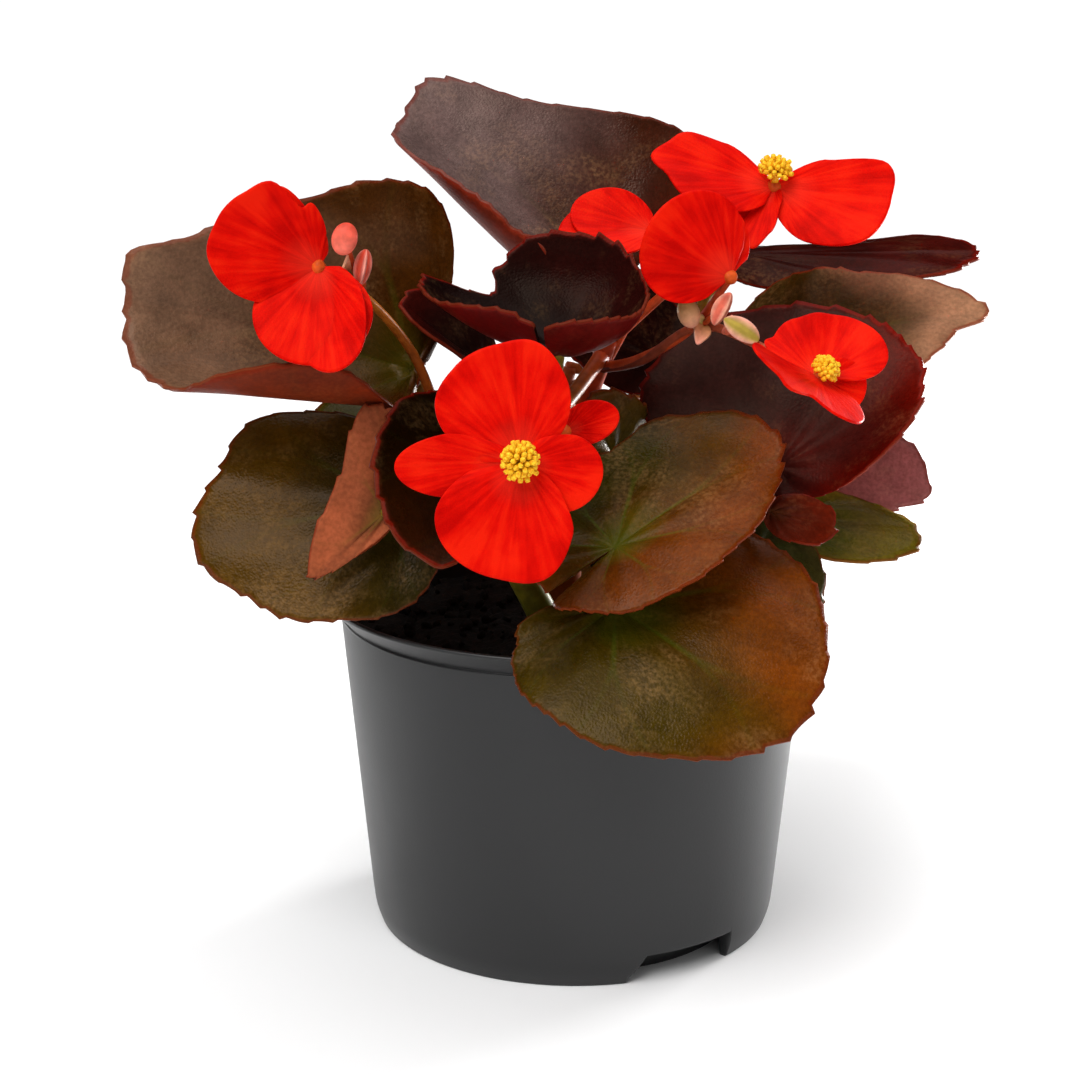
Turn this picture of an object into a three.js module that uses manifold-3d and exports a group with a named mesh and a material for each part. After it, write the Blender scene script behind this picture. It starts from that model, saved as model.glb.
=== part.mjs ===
// A wax begonia in a black nursery pot: bronze leaves on fleshy stems, and scarlet flowers with yellow
// stamens. Millimetres, +Z up. The origin is under the middle of the pot, on the surface that it
// stands on. The plant's best side faces -Y, with +X to the viewer's right.
import * as THREE from "three";
import { mergeVertices } from "three/addons/utils/BufferGeometryUtils.js";
import Module from "manifold-3d";

const wasm = await Module();
wasm.setup();

// Driving dimensions.
const RIM_RADIUS = 60;
const POT_HEIGHT = 82.5;
const WALL = 1.2;
const SOIL_DEPTH = 11; // from the rim down to the soil
const LEAF_THICK = 0.8;
const PETAL_THICK = 0.7;
const HEART = 3.2; // across the ball in which a bloom's tepals meet
const CLEARANCE = 0.35; // between pieces that touch on the real plant

// The pot, worked out from the rim.
const LIP_HEIGHT = 5.5;
const NECK_RADIUS = RIM_RADIUS - 4.5;
const FOOT_RADIUS = RIM_RADIUS - 12.5;
const HEEL_RADIUS = RIM_RADIUS - 10.6;
const HEEL_HEIGHT = 9;
const FLOOR_HEIGHT = 7.6; // above the notches
const FLOOR_THICK = 1.5;
const INSIDE_CORNER = 13; // where the wall starts to round in to the floor
const INNER_RING_RADIUS = 40.2; // a rib under the floor that shows through the notches
const INNER_RING_WALL = 1.4;
const POT_SIDES = 46;

// The two notches in the foot that let water run out, and the holes in the floor.
const NOTCH_HEIGHT = 7;
const NOTCH_WIDTH = 27;
const NOTCH_AZIMUTHS = [-57, 123];
const DRAIN_COUNT = 6;
const DRAIN_RADIUS = 3.5;
const DRAIN_CIRCLE = 30;

// Leaf blade sampling: rings from the petiole out to the margin, and steps round the margin.
const LEAF_RINGS = [0.4, 0.74, 1];
const LEAF_STEPS = 24;
const SMALL_RINGS = [0.55, 1];
const SMALL_LEAF_STEPS = 16;
const PETAL_STEPS = 10;
const TOOTH_DEPTH = 0.014;
const LEAF_SPREAD = 166; // degrees each side of the midrib, so that an open notch stays at the petiole
const PETAL_SPREAD = 76;

const rad = THREE.MathUtils.degToRad;
const vector = (p) => new THREE.Vector3(...p);

const paint = (color, roughness) => new THREE.MeshStandardMaterial({ color, roughness, metalness: 0 });
const POT_BLACK = paint("#3a3b3c", 0.5);
const PEAT = paint("#1d1510", 0.95);
const STEM_RED = paint("#7a2a14", 0.45);
const STEM_GREEN = paint("#5d7a1c", 0.45);
const BRONZE = paint("#3f2a12", 0.35);
const MAROON = paint("#2e0f10", 0.35);
const OLIVE = paint("#46400f", 0.4);
const GREEN = paint("#44601a", 0.4);
const RED = paint("#f21404", 0.4);
const STAMEN_YELLOW = paint("#f3b80c", 0.55);
const BUD_PINK = paint("#d8503f", 0.45);

// Stems: each is a list of points from in the soil to its top, with its radius at the foot and at the
// top.
const STEMS = {
  stem_left: {
    points: [[2, -24, 58], [-6, -25, 80], [-20, -24, 106], [-32, -18, 130]], radii: [4.2, 2.2],
    color: STEM_GREEN,
  },
  stem_centre: {
    points: [[-4, 2, 58], [-2, 3, 88], [0, 2, 118], [8, 0, 142]], radii: [4.8, 2.2], color: STEM_RED,
  },
  stem_right: {
    points: [[18, -8, 58], [24, -10, 82], [32, -13, 104], [34, -10, 122]], radii: [4.4, 2.2],
    color: STEM_RED,
  },
  stem_front: {
    points: [[14, -26, 58], [12, -31, 78], [8, -37, 98]], radii: [3.8, 2.6], color: STEM_GREEN,
  },
  stem_back: {
    points: [[2, 22, 58], [0, 30, 84], [-4, 36, 110], [-2, 38, 128]], radii: [4.2, 2.2], color: STEM_RED,
  },
};

// Leaves: base is where the petiole meets the blade and tip is the far end of the midrib. face is the
// way the upper surface looks. Pairs are for the halves left and right of the midrib: wide is the
// half-width, skew how far the widest part slides towards the tip for each millimetre across, and
// taper the share lost towards the tip. lobe is the share of the length that the blade reaches back
// past the petiole. fold, curl, bow and twist are degrees, and wave is millimetres. lower is extra
// room between a piece and its stalk, in millimetres.
const LEAVES = {
  leaf_front_low: {
    base: [9, -54, 92.5], tip: [46, -74, 70.5], face: [0.1, -0.65, 0.75], wide: [37, 30],
    lobe: 0.14, round: 0.45, spread: 155,
    skew: [-0.1, -0.4], fold: [4, 2], curl: [-12, -16], bow: 18, wave: 1, color: BRONZE,
    stem: "stem_front", at: 0.7,
    outline: [[-140, 1.6], [-121, 1.65], [-99, 1.3], [-82, 1.15], [-60, 1.02]],
  },
  leaf_front_right: {
    base: [9, -54, 106], tip: [43, -35, 123.5], face: [-0.15, -0.5, 0.85], wide: [29, 20],
    lobe: 0.55, round: 0.05,
    spread: 173, fold: [8, 4], curl: [-8, -12], bow: 10, wave: 1, color: BRONZE,
    stem: "stem_front", at: 1, rise: 40,
    outline: [
      [-130, 0.86], [-105, 0.93], [-80, 1], [-40, 0.96], [-15, 1], [2, 1.1], [22, 1.13], [40, 1.04],
      [60, 0.81],
    ],
  },
  leaf_left_low: {
    base: [-38, -34, 110], tip: [-84, -33, 102], face: [-0.2, -0.8, 0.56], wide: [24.5, 24], lobe: 0.25,
    fold: [0, 4], curl: [-16, -8], bow: 14, wave: 1, color: OLIVE, stem: "stem_left", at: 0.55,
    outline: [[-80, 1], [-48, 1.18], [-20, 1], [0, 1.05], [25, 0.96], [60, 1], [88, 1.12], [120, 1]],
  },
  leaf_left_fold: {
    base: [-41, -46, 112], tip: [-58.6, -50, 98.5], face: [0.35, 0.85, 0.25], wide: [21.5, 4], lobe: 0.35,
    skew: [-0.85, 0], fold: [0, 0], curl: [10, 10], wave: 1, color: BRONZE, stem: "stem_left",
    at: 0.6, small: true,
    via: [[-28, -43, 107.3]], outline: [[0, 1], [32, 0.78], [62, 0.97], [85, 0.92]], rise: 5,
  },
  leaf_cup: {
    base: [-11.5, -34, 121.5], tip: [-29.5, -67, 103.5], face: [0.2, -0.6, 0.77], wide: [13, 29.5],
    lobe: 0.28,
    skew: [0, 0], fold: [6, 10], curl: [10, 22], bow: -12, wave: 1, color: MAROON,
    stem: "stem_left", at: 0.75, outline: [[-20, 1], [0, 0.96], [18, 0.78], [45, 0.77], [68, 0.97]],
  },
  leaf_left_big: {
    base: [-37, -14, 137], tip: [-100, -24, 155], face: [0.12, -0.62, 0.78], wide: [41, 46],
    lobe: 0.03, round: 0.5,
    skew: [0.05, -0.28], taper: [0, 0.3], fold: [-8, 30], curl: [118, -6], bow: 8, twist: -30, wave: 1.5,
    color: OLIVE, stem: "stem_left", at: 0.97, lower: 0.3,
    outline: [
      [-85, 0.96], [-56, 1.04], [-35, 0.98], [-16, 1], [-9, 1.1], [3, 1], [20, 0.92], [40, 1],
      [60, 1.1], [100, 1],
    ],
  },
  leaf_left_back: {
    base: [-35, -4, 118], tip: [-64, 4, 120], face: [-0.2, -0.3, 0.93], wide: [18, 18], lobe: 0.3,
    fold: [6, 6], bow: 10, wave: 1, color: OLIVE, stem: "stem_left", at: 0.85, small: true,
  },
  leaf_top: {
    base: [5, 16, 157.1], tip: [-38.8, 29, 197], face: [0.0, -0.85, 0.5], wide: [37.4, 44.4], lobe: 0.1,
    skew: [0, -0.25], taper: [0, 0.5], fold: [6, 0], curl: [112, 0], bow: 6, wave: 1, color: MAROON,
    stem: "stem_centre", at: 1,
    outline: [
      [-30, 0.99], [-8, 1.05], [10, 0.95], [42, 0.92], [60, 1.02], [80, 1.35], [100, 0.75], [120, 0.7],
    ],
  },
  leaf_cup_young: {
    base: [-4, -33, 145], tip: [3, -15, 168.9], face: [-0.1, -0.75, 0.65], wide: [32, 25], lobe: 0.8,
    spread: 177, fold: [0, 0], curl: [34, 75], bow: -95, wave: 0.6,
    color: MAROON, stem: "stem_centre", at: 0.95,
    outline: [[24, 1], [40, 0.88], [50, 0.72], [85, 1.1], [140, 1]],
  },
  leaf_young_dark: {
    base: [-22, -8, 137], tip: [-40, -16, 153], face: [0.5, -0.5, 0.7], wide: [9, 10], lobe: 0.2,
    fold: [25, 25], curl: [10, 10], wave: 0.5, color: MAROON, stem: "stem_centre", at: 0.8, small: true,
  },
  leaf_inner_dark: {
    base: [20, 21, 133], tip: [-6, 22, 148], face: [0.1, -0.8, 0.6], wide: [13, 17], lobe: 0.3,
    fold: [4, 4], bow: 6, wave: 1, color: MAROON, stem: "stem_centre", at: 0.8, small: true,
  },
  leaf_inner_olive: {
    base: [9, -14, 117], tip: [2, -26, 132], face: [0, -0.85, 0.5], wide: [12, 12], lobe: 0.4,
    fold: [4, 4], bow: 8, wave: 1, color: OLIVE, stem: "stem_centre", at: 0.65, small: true,
  },
  leaf_right_big: {
    base: [46, -24, 117], tip: [68, -9, 151], face: [-0.15, -0.85, 0.5], wide: [38.5, 23], lobe: 0.2,
    skew: [-0.25, 0.25], fold: [0, 6], curl: [-6, 30], bow: 6, wave: 1.5, color: MAROON,
    stem: "stem_right", at: 0.95,
    outline: [[-120, 1], [-80, 1.1], [-60, 1.1], [-40, 0.98], [-15, 0.91], [10, 0.96], [30, 1]],
  },
  leaf_right_olive: {
    base: [53, 1, 139], tip: [95.5, -1, 149], face: [0, -0.62, 0.78], wide: [20, 20], lobe: 0.3,
    skew: [-0.4, 0.2], fold: [6, 0], curl: [0, -10], bow: 26, wave: 1, color: OLIVE,
    stem: "stem_right", at: 1,
    outline: [
      [-80, 0.9], [-45, 0.76], [-16, 0.8], [0, 1.02], [20, 0.97], [42, 0.87], [60, 1], [85, 1.2],
      [120, 1.1],
    ],
  },
  leaf_right_back: {
    base: [40, 30, 157.5], tip: [98, 28, 160], face: [0, -0.5, 0.87], wide: [20, 12], lobe: 0.25,
    fold: [-30, 0], bow: -6, wave: 1.5, color: MAROON, stem: "stem_right", at: 1,
    outline: [[-60, 1], [-35, 1.15], [-15, 1]],
    lower: 0.6,
  },
  leaf_right_maroon: {
    base: [50, 4, 112], tip: [84, 6, 106], face: [0.1, -0.8, 0.6], wide: [15, 12], lobe: 0.25,
    bow: 6, wave: 1, color: MAROON, stem: "stem_right", at: 0.8, small: true,
    outline: [[-25, 0.95], [-8, 1.06], [12, 1]],
  },
  leaf_right_green: {
    base: [44, -14, 103], tip: [82, -12, 98.5], face: [0.05, -0.5, 0.86], wide: [11, 14], lobe: 0.25,
    fold: [6, 6], bow: 10, wave: 1, color: GREEN, stem: "stem_right", at: 0.6, small: true,
    outline: [[-20, 1], [0, 0.94], [42, 0.85]],
  },
  leaf_right_grey: {
    base: [40, -32, 100], tip: [54, -34, 84], face: [0.3, -0.7, 0.6], wide: [12, 10], lobe: 0.3,
    fold: [4, 4], bow: 8, wave: 1, color: OLIVE, stem: "stem_right", at: 0.5, small: true,
  },
  leaf_right_small: {
    base: [43, -40, 110.5], tip: [58, -40, 107], face: [0.1, -0.8, 0.5], wide: [5.5, 6], lobe: 0.1,
    fold: [4, 4], bow: 8, wave: 0.5, color: MAROON, stem: "stem_right", at: 0.7, small: true,
  },
  leaf_back_left: {
    base: [-34, 36, 116], tip: [-66, 66, 104], face: [-0.3, 0.4, 0.85], wide: [30, 30], lobe: 0.3,
    fold: [6, 6], curl: [-10, -10], bow: 20, wave: 1, color: BRONZE,
    stem: "stem_back", at: 0.85, small: true,
  },
  leaf_back_middle: {
    base: [4, 52, 104], tip: [10, 79, 86], face: [0.1, 0.6, 0.8], wide: [32, 30], lobe: 0.3,
    fold: [4, 4], curl: [-14, -14], bow: 20, wave: 1, color: OLIVE,
    stem: "stem_back", at: 0.7, small: true,
  },
  leaf_back_right: {
    base: [30, 40, 124], tip: [66, 66, 116], face: [0.3, 0.4, 0.85], wide: [28, 30], lobe: 0.3,
    fold: [6, 6], curl: [-8, -8], bow: 16, wave: 1, color: BRONZE, stem: "stem_back", at: 0.95, small: true,
  },
  leaf_back_high: {
    base: [12, 46, 133], tip: [18, 80, 138], face: [0.0, 0.2, 0.98], wide: [26, 26], lobe: 0.3,
    fold: [8, 8], bow: 10, wave: 1, color: MAROON, stem: "stem_back", at: 1, small: true,
  },
};

// Blooms: centre is where the tepals meet, and axis points out of the bloom. Each tepal runs from the
// centre to tip.
const BLOOMS = {
  bloom_front: {
    centre: [-11, -72, 129], axis: [0, -0.95, 0.3], stamens: 4.6, stem: "stem_centre",
    stalk: [[0.5, 2, 122], [-7, -22, 138], [-10, -48, 135]],
    tepals: [
      {
        tip: [-17, -66, 154], face: [0.05, -0.97, 0.2], wide: [15, 14], bow: -10,
        outline: [
          [-76, 0.85], [-60, 0.93], [-41, 0.95], [-20, 1], [0, 0.94], [20, 0.95], [41, 1], [76, 0.9],
        ],
      },
      {
        tip: [-16, -78, 106], face: [0.0, -0.95, 0.3], wide: [14, 14.5], bow: 14,
        outline: [[-76, 0.8], [-41, 1.05], [0, 1], [22, 1.06], [45, 0.98], [60, 0.8], [76, 0.6]],
      },
      {
        tip: [-37, -72, 128], face: [0.1, -0.95, 0.1], wide: [6.8, 7.2], bow: 6,
        outline: [[-76, 0.35], [-60, 0.55], [-38, 0.95], [0, 1], [38, 1], [60, 0.55], [76, 0.35]],
      },
      {
        tip: [6, -73, 126], face: [-0.1, -0.95, 0.1], wide: [8, 9], bow: 6,
        outline: [[-76, 0.4], [-58, 0.62], [-38, 0.97], [38, 1], [60, 0.85], [76, 0.7]],
      },
    ],
  },
  bloom_right: {
    centre: [52, -50, 142.5], axis: [0.3, -0.6, 0.7], stamens: 3.4, stem: "stem_centre", lower: 0.4,
    stalk: [[5.5, 0.5, 135], [15, -12, 139], [28, -23, 149], [40, -36, 147]],
    tepals: [
      {
        tip: [56, -38, 154.5], face: [0.05, -0.85, 0.55], wide: [14.5, 13.5], bow: -16,
        outline: [[-10, 1], [5, 0.95], [20, 0.86], [42, 0.8], [60, 1]],
      },
      {
        tip: [53, -72, 136], face: [0.5, 0.0, 0.86], wide: [13, 13], bow: 10,
        outline: [[-76, 1.6], [-60, 1.85], [-35, 1.1], [-15, 0.7], [15, 0.8], [50, 0.68], [76, 0.65]],
      },
      { tip: [62, -48, 139], face: [-0.3, -0.8, 0.5], wide: [6, 6], bow: 0 },
    ],
  },
  bloom_top_right: {
    centre: [45, -6, 178], axis: [0.05, -0.3, 0.95], stamens: 4.4, stem: "stem_centre",
    stalk: [[5, 0, 138], [20, 0, 152], [38, -4, 168]],
    tepals: [
      {
        tip: [71, -12, 176], face: [0.1, -0.9, 0.4], wide: [10, 15], bow: 8,
        outline: [
          [-76, 0.8], [-50, 0.85], [-19, 1], [0, 1], [24, 1.1], [41, 0.74], [60, 0.32], [76, 0.2],
        ],
      },
      {
        tip: [17.5, -8, 185], face: [0.2, -0.75, 0.6], wide: [11, 9], bow: 8,
        outline: [
          [-76, 0.3], [-60, 0.48], [-44, 0.85], [-32, 1.04], [-15, 0.97], [0, 1.02], [14, 0.92],
          [40, 1],
        ],
      },
      {
        tip: [39.5, -16, 165], face: [-0.2, -0.9, 0.4], wide: [6, 6], bow: 8,
        outline: [[0, 1], [20, 0.8], [41, 0.5]],
      },
    ],
  },
  bloom_top_left: {
    centre: [34, -30, 161], axis: [-0.3, 0.5, 0.7], stamens: 0, stem: "stem_centre",
    stalk: [[5.5, 0.5, 135], [14, -11, 139], [26, -21, 148]],
    tepals: [
      { tip: [17, -34, 175], face: [-0.1, 0.9, -0.2], wide: [13, 13], bow: -16 },
      { tip: [21, -20, 174], face: [0.1, -0.9, 0.3], wide: [11, 11], bow: -10 },
    ],
  },
  bloom_behind: {
    centre: [18, 0, 167], axis: [-0.5, -0.3, 0.6], stamens: 0, stem: "stem_centre",
    stalk: [[4, 0.5, 130], [14, 0, 150]],
    tepals: [
      { tip: [-4, -2, 166.5], face: [0.1, -0.6, 0.8], wide: [9, 9], bow: 10 },
      { tip: [-1, 2, 172], face: [0.3, -0.8, 0.5], wide: [8, 8], bow: 0 },
    ],
  },
  bloom_left: {
    centre: [-54.5, -46, 165.5], axis: [-0.3, -0.9, 0.2], stamens: 0, stem: "stem_left",
    stalk: [[-30, -20, 125], [-36, -23, 142], [-46, -37, 158]],
    tepals: [
      {
        tip: [-77, -52, 177], face: [-0.2, -0.95, 0.2], wide: [13, 13.5], bow: 12,
        outline: [[-76, 1.02], [-60, 0.98], [-47, 0.74], [-36, 0.99], [-19, 0.92], [0, 0.92], [20, 0.97]],
      },
      {
        tip: [-69.7, -44, 182.5], face: [0, -0.95, 0.1], wide: [11.5, 10], bow: 10,
        outline: [[-76, 0.6], [-41, 0.66], [-19, 0.88], [0, 0.92], [20, 0.96], [41, 0.95]],
      },
      { tip: [-57, -56, 146], face: [-0.1, -0.95, 0.3], wide: [13.5, 12.5], bow: 12 },
      { tip: [-49.5, -60, 145.5], face: [-0.3, -0.9, 0.2], wide: [9, 8.5], bow: -14 },
    ],
  },
  bloom_small: {
    centre: [-2, -56, 132], axis: [0.6, -0.6, 0.5], stamens: 0, stem: "stem_centre",
    stalk: [[0.5, 2, 122], [-2, -22, 132], [-4, -42, 131.5]],
    tepals: [
      { tip: [9, -60, 137], face: [-0.2, -0.9, 0.3], wide: [4.5, 4.5], bow: 0 },
    ],
  },
};

// Buds: centre, the way that the long axis points, length and thickness, and where its stalk leaves a
// flower stalk.
const BUDS = {
  bud_left_upper: {
    centre: [-48.5, -50, 172], axis: [0.3, 0, 1], size: [7, 5], stem: "stem_left", from: [-46, -37, 158],
  },
  bud_left_lower: {
    centre: [-45, -47, 165.5], axis: [0.2, 0, 1], size: [8, 4.5], stem: "stem_left", from: [-46, -37, 158],
  },
  bud_right_pale: {
    centre: [25, -29, 153], axis: [-0.3, 0, 1], size: [7, 4.5], stem: "stem_centre", from: [26, -21, 148],
  },
  bud_right_upper: {
    centre: [32, -36, 155], axis: [0.5, 0, 1], size: [8, 4.5], stem: "stem_centre", from: [28, -23, 149],
  },
  bud_right_winged: {
    centre: [36, -39, 151], axis: [0.8, 0, -0.5], size: [9, 5.5], stem: "stem_centre", from: [40, -36, 147],
  },
};

// A closed mesh becomes a solid once its shared corners are one vertex each.
function solidOf(geometry) {
  const bare = geometry.clone();
  bare.deleteAttribute("normal");
  bare.deleteAttribute("uv");
  const merged = mergeVertices(bare, 1e-4);
  return new wasm.Manifold(
    new wasm.Mesh({
      numProp: 3,
      vertProperties: merged.attributes.position.array,
      triVerts: new Uint32Array(merged.index.array),
    }),
  );
}

function meshOf(solid, name, material) {
  const { vertProperties, triVerts, numProp, numVert } = solid.getMesh();
  const positions = new Float32Array(numVert * 3);
  for (let i = 0; i < numVert; i++) {
    positions.set(vertProperties.subarray(i * numProp, i * numProp + 3), i * 3);
  }
  const geometry = new THREE.BufferGeometry();
  geometry.setAttribute("position", new THREE.BufferAttribute(positions, 3));
  geometry.setIndex(new THREE.BufferAttribute(triVerts, 1));
  geometry.computeVertexNormals();
  const mesh = new THREE.Mesh(geometry, material);
  mesh.name = name;
  return mesh;
}

// Turns a profile of [radius, height] points about Z.
function turned(profile, sides) {
  const geometry = new THREE.LatheGeometry(profile.map(([r, z]) => new THREE.Vector2(r, z)), sides);
  geometry.rotateX(Math.PI / 2);
  return solidOf(geometry);
}

// A local frame for a blade: along the midrib, to its left, and out of the upper surface.
function frameOf(base, tip, face) {
  const along = tip.clone().sub(base).normalize();
  const out = face.clone().addScaledVector(along, -face.dot(along)).normalize();
  return { along, left: out.clone().cross(along), out };
}

const PLAIN = [[0, 1]];

// Distance from the petiole to the margin at an angle from the midrib: a circle seen from a point off
// its centre.
function marginAt(angle, length, lobe) {
  const offset = (length * (1 - lobe)) / 2;
  const radius = (length * (1 + lobe)) / 2;
  return offset * Math.cos(angle) + Math.sqrt(radius ** 2 - (offset * Math.sin(angle)) ** 2);
}

// A share of the plain outline at an angle: smooth steps between the given pairs of angle and share.
function outlineShare(knots, degrees) {
  if (degrees <= knots[0][0]) return knots[0][1];
  for (let i = 1; i < knots.length; i++) {
    if (degrees > knots[i][0]) continue;
    const step = THREE.MathUtils.smoothstep(degrees, knots[i - 1][0], knots[i][0]);
    return THREE.MathUtils.lerp(knots[i - 1][1], knots[i][1], step);
  }
  return knots.at(-1)[1];
}

// Bends one half of a blade upwards: fold is the angle at the midrib, and curl is added out to the
// margin.
function crossSection(across, width, fold, curl) {
  const share = Math.abs(across) / width;
  const side = Math.sign(across);
  if (Math.abs(curl) < 1e-3) {
    return [across * Math.cos(fold), Math.abs(across) * Math.sin(fold)];
  }
  const bend = width / curl;
  return [
    side * bend * (Math.sin(fold + curl * share) - Math.sin(fold)),
    bend * (Math.cos(fold) - Math.cos(fold + curl * share)),
  ];
}

// The middle surface of a blade: a point for the petiole, then rings of points out to the margin.
function bladePoints(blade) {
  const base = vector(blade.base);
  const tip = vector(blade.tip);
  const { along, left, out } = frameOf(base, tip, vector(blade.face));
  const bow = rad(blade.bow || 0.01);
  const length = (base.distanceTo(tip) * (bow / 2)) / Math.sin(bow / 2);
  const radius = (length * (1 + blade.lobe)) / 2;
  const points = [base.clone()];
  for (const share of blade.rings) {
    for (let i = 0; i <= blade.steps; i++) {
      const angle = rad(blade.spread) * ((2 * i) / blade.steps - 1);
      const nearCut = Math.max(0, (Math.abs(angle) / rad(blade.spread) - 0.62) / 0.38);
      const isEnd = i === 0 || i === blade.steps;
      const tooth = isEnd ? 0 : blade.teeth * (i % 2 ? 1 : -1) * (share === 1 ? 1 : 0);
      const plainReach = marginAt(angle, length, blade.lobe) * (1 - blade.round * nearCut ** 2);
      const degrees = THREE.MathUtils.radToDeg(angle);
      const reach = plainReach * outlineShare(blade.outline, degrees) * (1 + tooth);
      const half = angle > 0 ? 0 : 1;
      const width = blade.wide[half];
      const sideways = (share * reach * Math.sin(angle) * width) / radius;
      const plain = share * reach * Math.cos(angle);
      const narrow = 1 - blade.taper[half] * THREE.MathUtils.smoothstep(plain / length, ...blade.step);
      const forward = plain + blade.skew[half] * Math.abs(sideways);
      let [y, z] = crossSection(sideways * narrow, width, rad(blade.fold[half]), rad(blade.curl[half]));
      z += blade.wave * share ** 3 * Math.sin(blade.waves * angle + blade.phase);
      const turn = (rad(blade.twist) * forward) / length;
      [y, z] = [y * Math.cos(turn) - z * Math.sin(turn), y * Math.sin(turn) + z * Math.cos(turn)];
      const lean = bow * (0.5 - forward / length);
      const x = (length / bow) * (Math.sin(bow / 2) - Math.sin(lean)) - z * Math.sin(lean);
      const rise = (length / bow) * (Math.cos(lean) - Math.cos(bow / 2)) + z * Math.cos(lean);
      points.push(
        base.clone().addScaledVector(along, x).addScaledVector(left, y).addScaledVector(out, rise),
      );
    }
  }
  return points;
}

// Triangles of a blade seen from above, and its outline in order.
function bladeFaces(steps, rings) {
  const at = (ring, i) => 1 + ring * (steps + 1) + i;
  const faces = [];
  for (let i = 0; i < steps; i++) {
    faces.push([0, at(0, i), at(0, i + 1)]);
    for (let ring = 1; ring < rings; ring++) {
      faces.push([at(ring - 1, i), at(ring, i), at(ring, i + 1)]);
      faces.push([at(ring - 1, i), at(ring, i + 1), at(ring - 1, i + 1)]);
    }
  }
  const outline = [0];
  for (let ring = 0; ring < rings; ring++) outline.push(at(ring, 0));
  for (let i = 1; i <= steps; i++) outline.push(at(rings - 1, i));
  for (let ring = rings - 2; ring >= 0; ring--) outline.push(at(ring, steps));
  return { faces, outline };
}

// Gives the middle surface a thickness, the same triangles on both sides, and closes it round the
// outline.
function bladeSolid(blade) {
  const middle = bladePoints(blade);
  const { faces, outline } = bladeFaces(blade.steps, blade.rings.length);
  const normals = middle.map(() => new THREE.Vector3());
  for (const [a, b, c] of faces) {
    const normal = middle[b].clone().sub(middle[a]).cross(middle[c].clone().sub(middle[a]));
    for (const corner of [a, b, c]) normals[corner].add(normal);
  }
  const count = middle.length;
  const positions = new Float32Array(count * 6);
  middle.forEach((point, i) => {
    const step = normals[i].normalize().multiplyScalar(blade.thick / 2);
    positions.set(point.clone().add(step).toArray(), i * 3);
    positions.set(point.clone().sub(step).toArray(), (count + i) * 3);
  });
  const triangles = [];
  for (const [a, b, c] of faces) triangles.push(a, b, c, count + a, count + c, count + b);
  outline.forEach((here, i) => {
    const next = outline[(i + 1) % outline.length];
    triangles.push(here, count + here, next, next, count + here, count + next);
  });
  return new wasm.Manifold(
    new wasm.Mesh({ numProp: 3, vertProperties: positions, triVerts: new Uint32Array(triangles) }),
  );
}

function leafBlade(leaf, index) {
  return {
    steps: leaf.small ? SMALL_LEAF_STEPS : LEAF_STEPS, rings: leaf.small ? SMALL_RINGS : LEAF_RINGS,
    spread: LEAF_SPREAD, teeth: TOOTH_DEPTH, round: 0.2, thick: LEAF_THICK, skew: [0, 0], taper: [0, 0],
    step: [0.1, 0.9], fold: [0, 0], curl: [0, 0], bow: 0, twist: 0, waves: 5, phase: index * 1.7,
    outline: PLAIN, ...leaf,
  };
}

function tepalBlade(tepal, centre) {
  return {
    base: centre, steps: PETAL_STEPS, rings: SMALL_RINGS, step: [0.1, 0.9], spread: PETAL_SPREAD,
    teeth: 0, round: 0.1, thick: PETAL_THICK,
    lobe: 0.02, skew: [0, 0], taper: [0, 0], fold: [3, 3], curl: [8, 8], wave: 0.5, waves: 3,
    phase: centre[0], twist: 0, outline: PLAIN, ...tepal,
  };
}

// A round tube along a smooth curve through the points, thinning from its foot to its top.
function tube(points, radii, sides, rings) {
  const stops = points.map((p) => (p.isVector3 ? p : vector(p)));
  const curve = new THREE.CatmullRomCurve3(stops, false, "centripetal");
  const { normals, binormals } = curve.computeFrenetFrames(rings, false);
  const positions = [];
  for (let ring = 0; ring <= rings; ring++) {
    const centre = curve.getPointAt(ring / rings);
    const radius = THREE.MathUtils.lerp(radii[0], radii[1], ring / rings);
    for (let side = 0; side < sides; side++) {
      const angle = (2 * Math.PI * side) / sides;
      const point = centre
        .clone()
        .addScaledVector(normals[ring], radius * Math.cos(angle))
        .addScaledVector(binormals[ring], radius * Math.sin(angle));
      positions.push(...point.toArray());
    }
  }
  const at = (ring, side) => ring * sides + (side % sides);
  const triangles = [];
  for (let ring = 0; ring < rings; ring++) {
    for (let side = 0; side < sides; side++) {
      triangles.push(at(ring, side), at(ring, side + 1), at(ring + 1, side + 1));
      triangles.push(at(ring, side), at(ring + 1, side + 1), at(ring + 1, side));
    }
  }
  for (let side = 1; side < sides - 1; side++) {
    triangles.push(at(0, 0), at(0, side + 1), at(0, side));
    triangles.push(at(rings, 0), at(rings, side), at(rings, side + 1));
  }
  return new wasm.Manifold(
    new wasm.Mesh({
      numProp: 3,
      vertProperties: new Float32Array(positions),
      triVerts: new Uint32Array(triangles),
    }),
  );
}

// A stretched ball, with its long axis along a direction.
function ball(centre, axis, length, thickness, sides = 8) {
  const geometry = new THREE.SphereGeometry(0.5, sides, Math.max(4, Math.round(sides * 0.75)));
  geometry.scale(thickness, length, thickness);
  const up = new THREE.Vector3(0, 1, 0);
  const turn = new THREE.Quaternion().setFromUnitVectors(up, axis.clone().normalize());
  geometry.applyQuaternion(turn);
  geometry.translate(...centre.toArray());
  return solidOf(geometry);
}

const stemCurve = (stem) =>
  new THREE.CatmullRomCurve3(STEMS[stem].points.map(vector), false, "centripetal");

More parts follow.
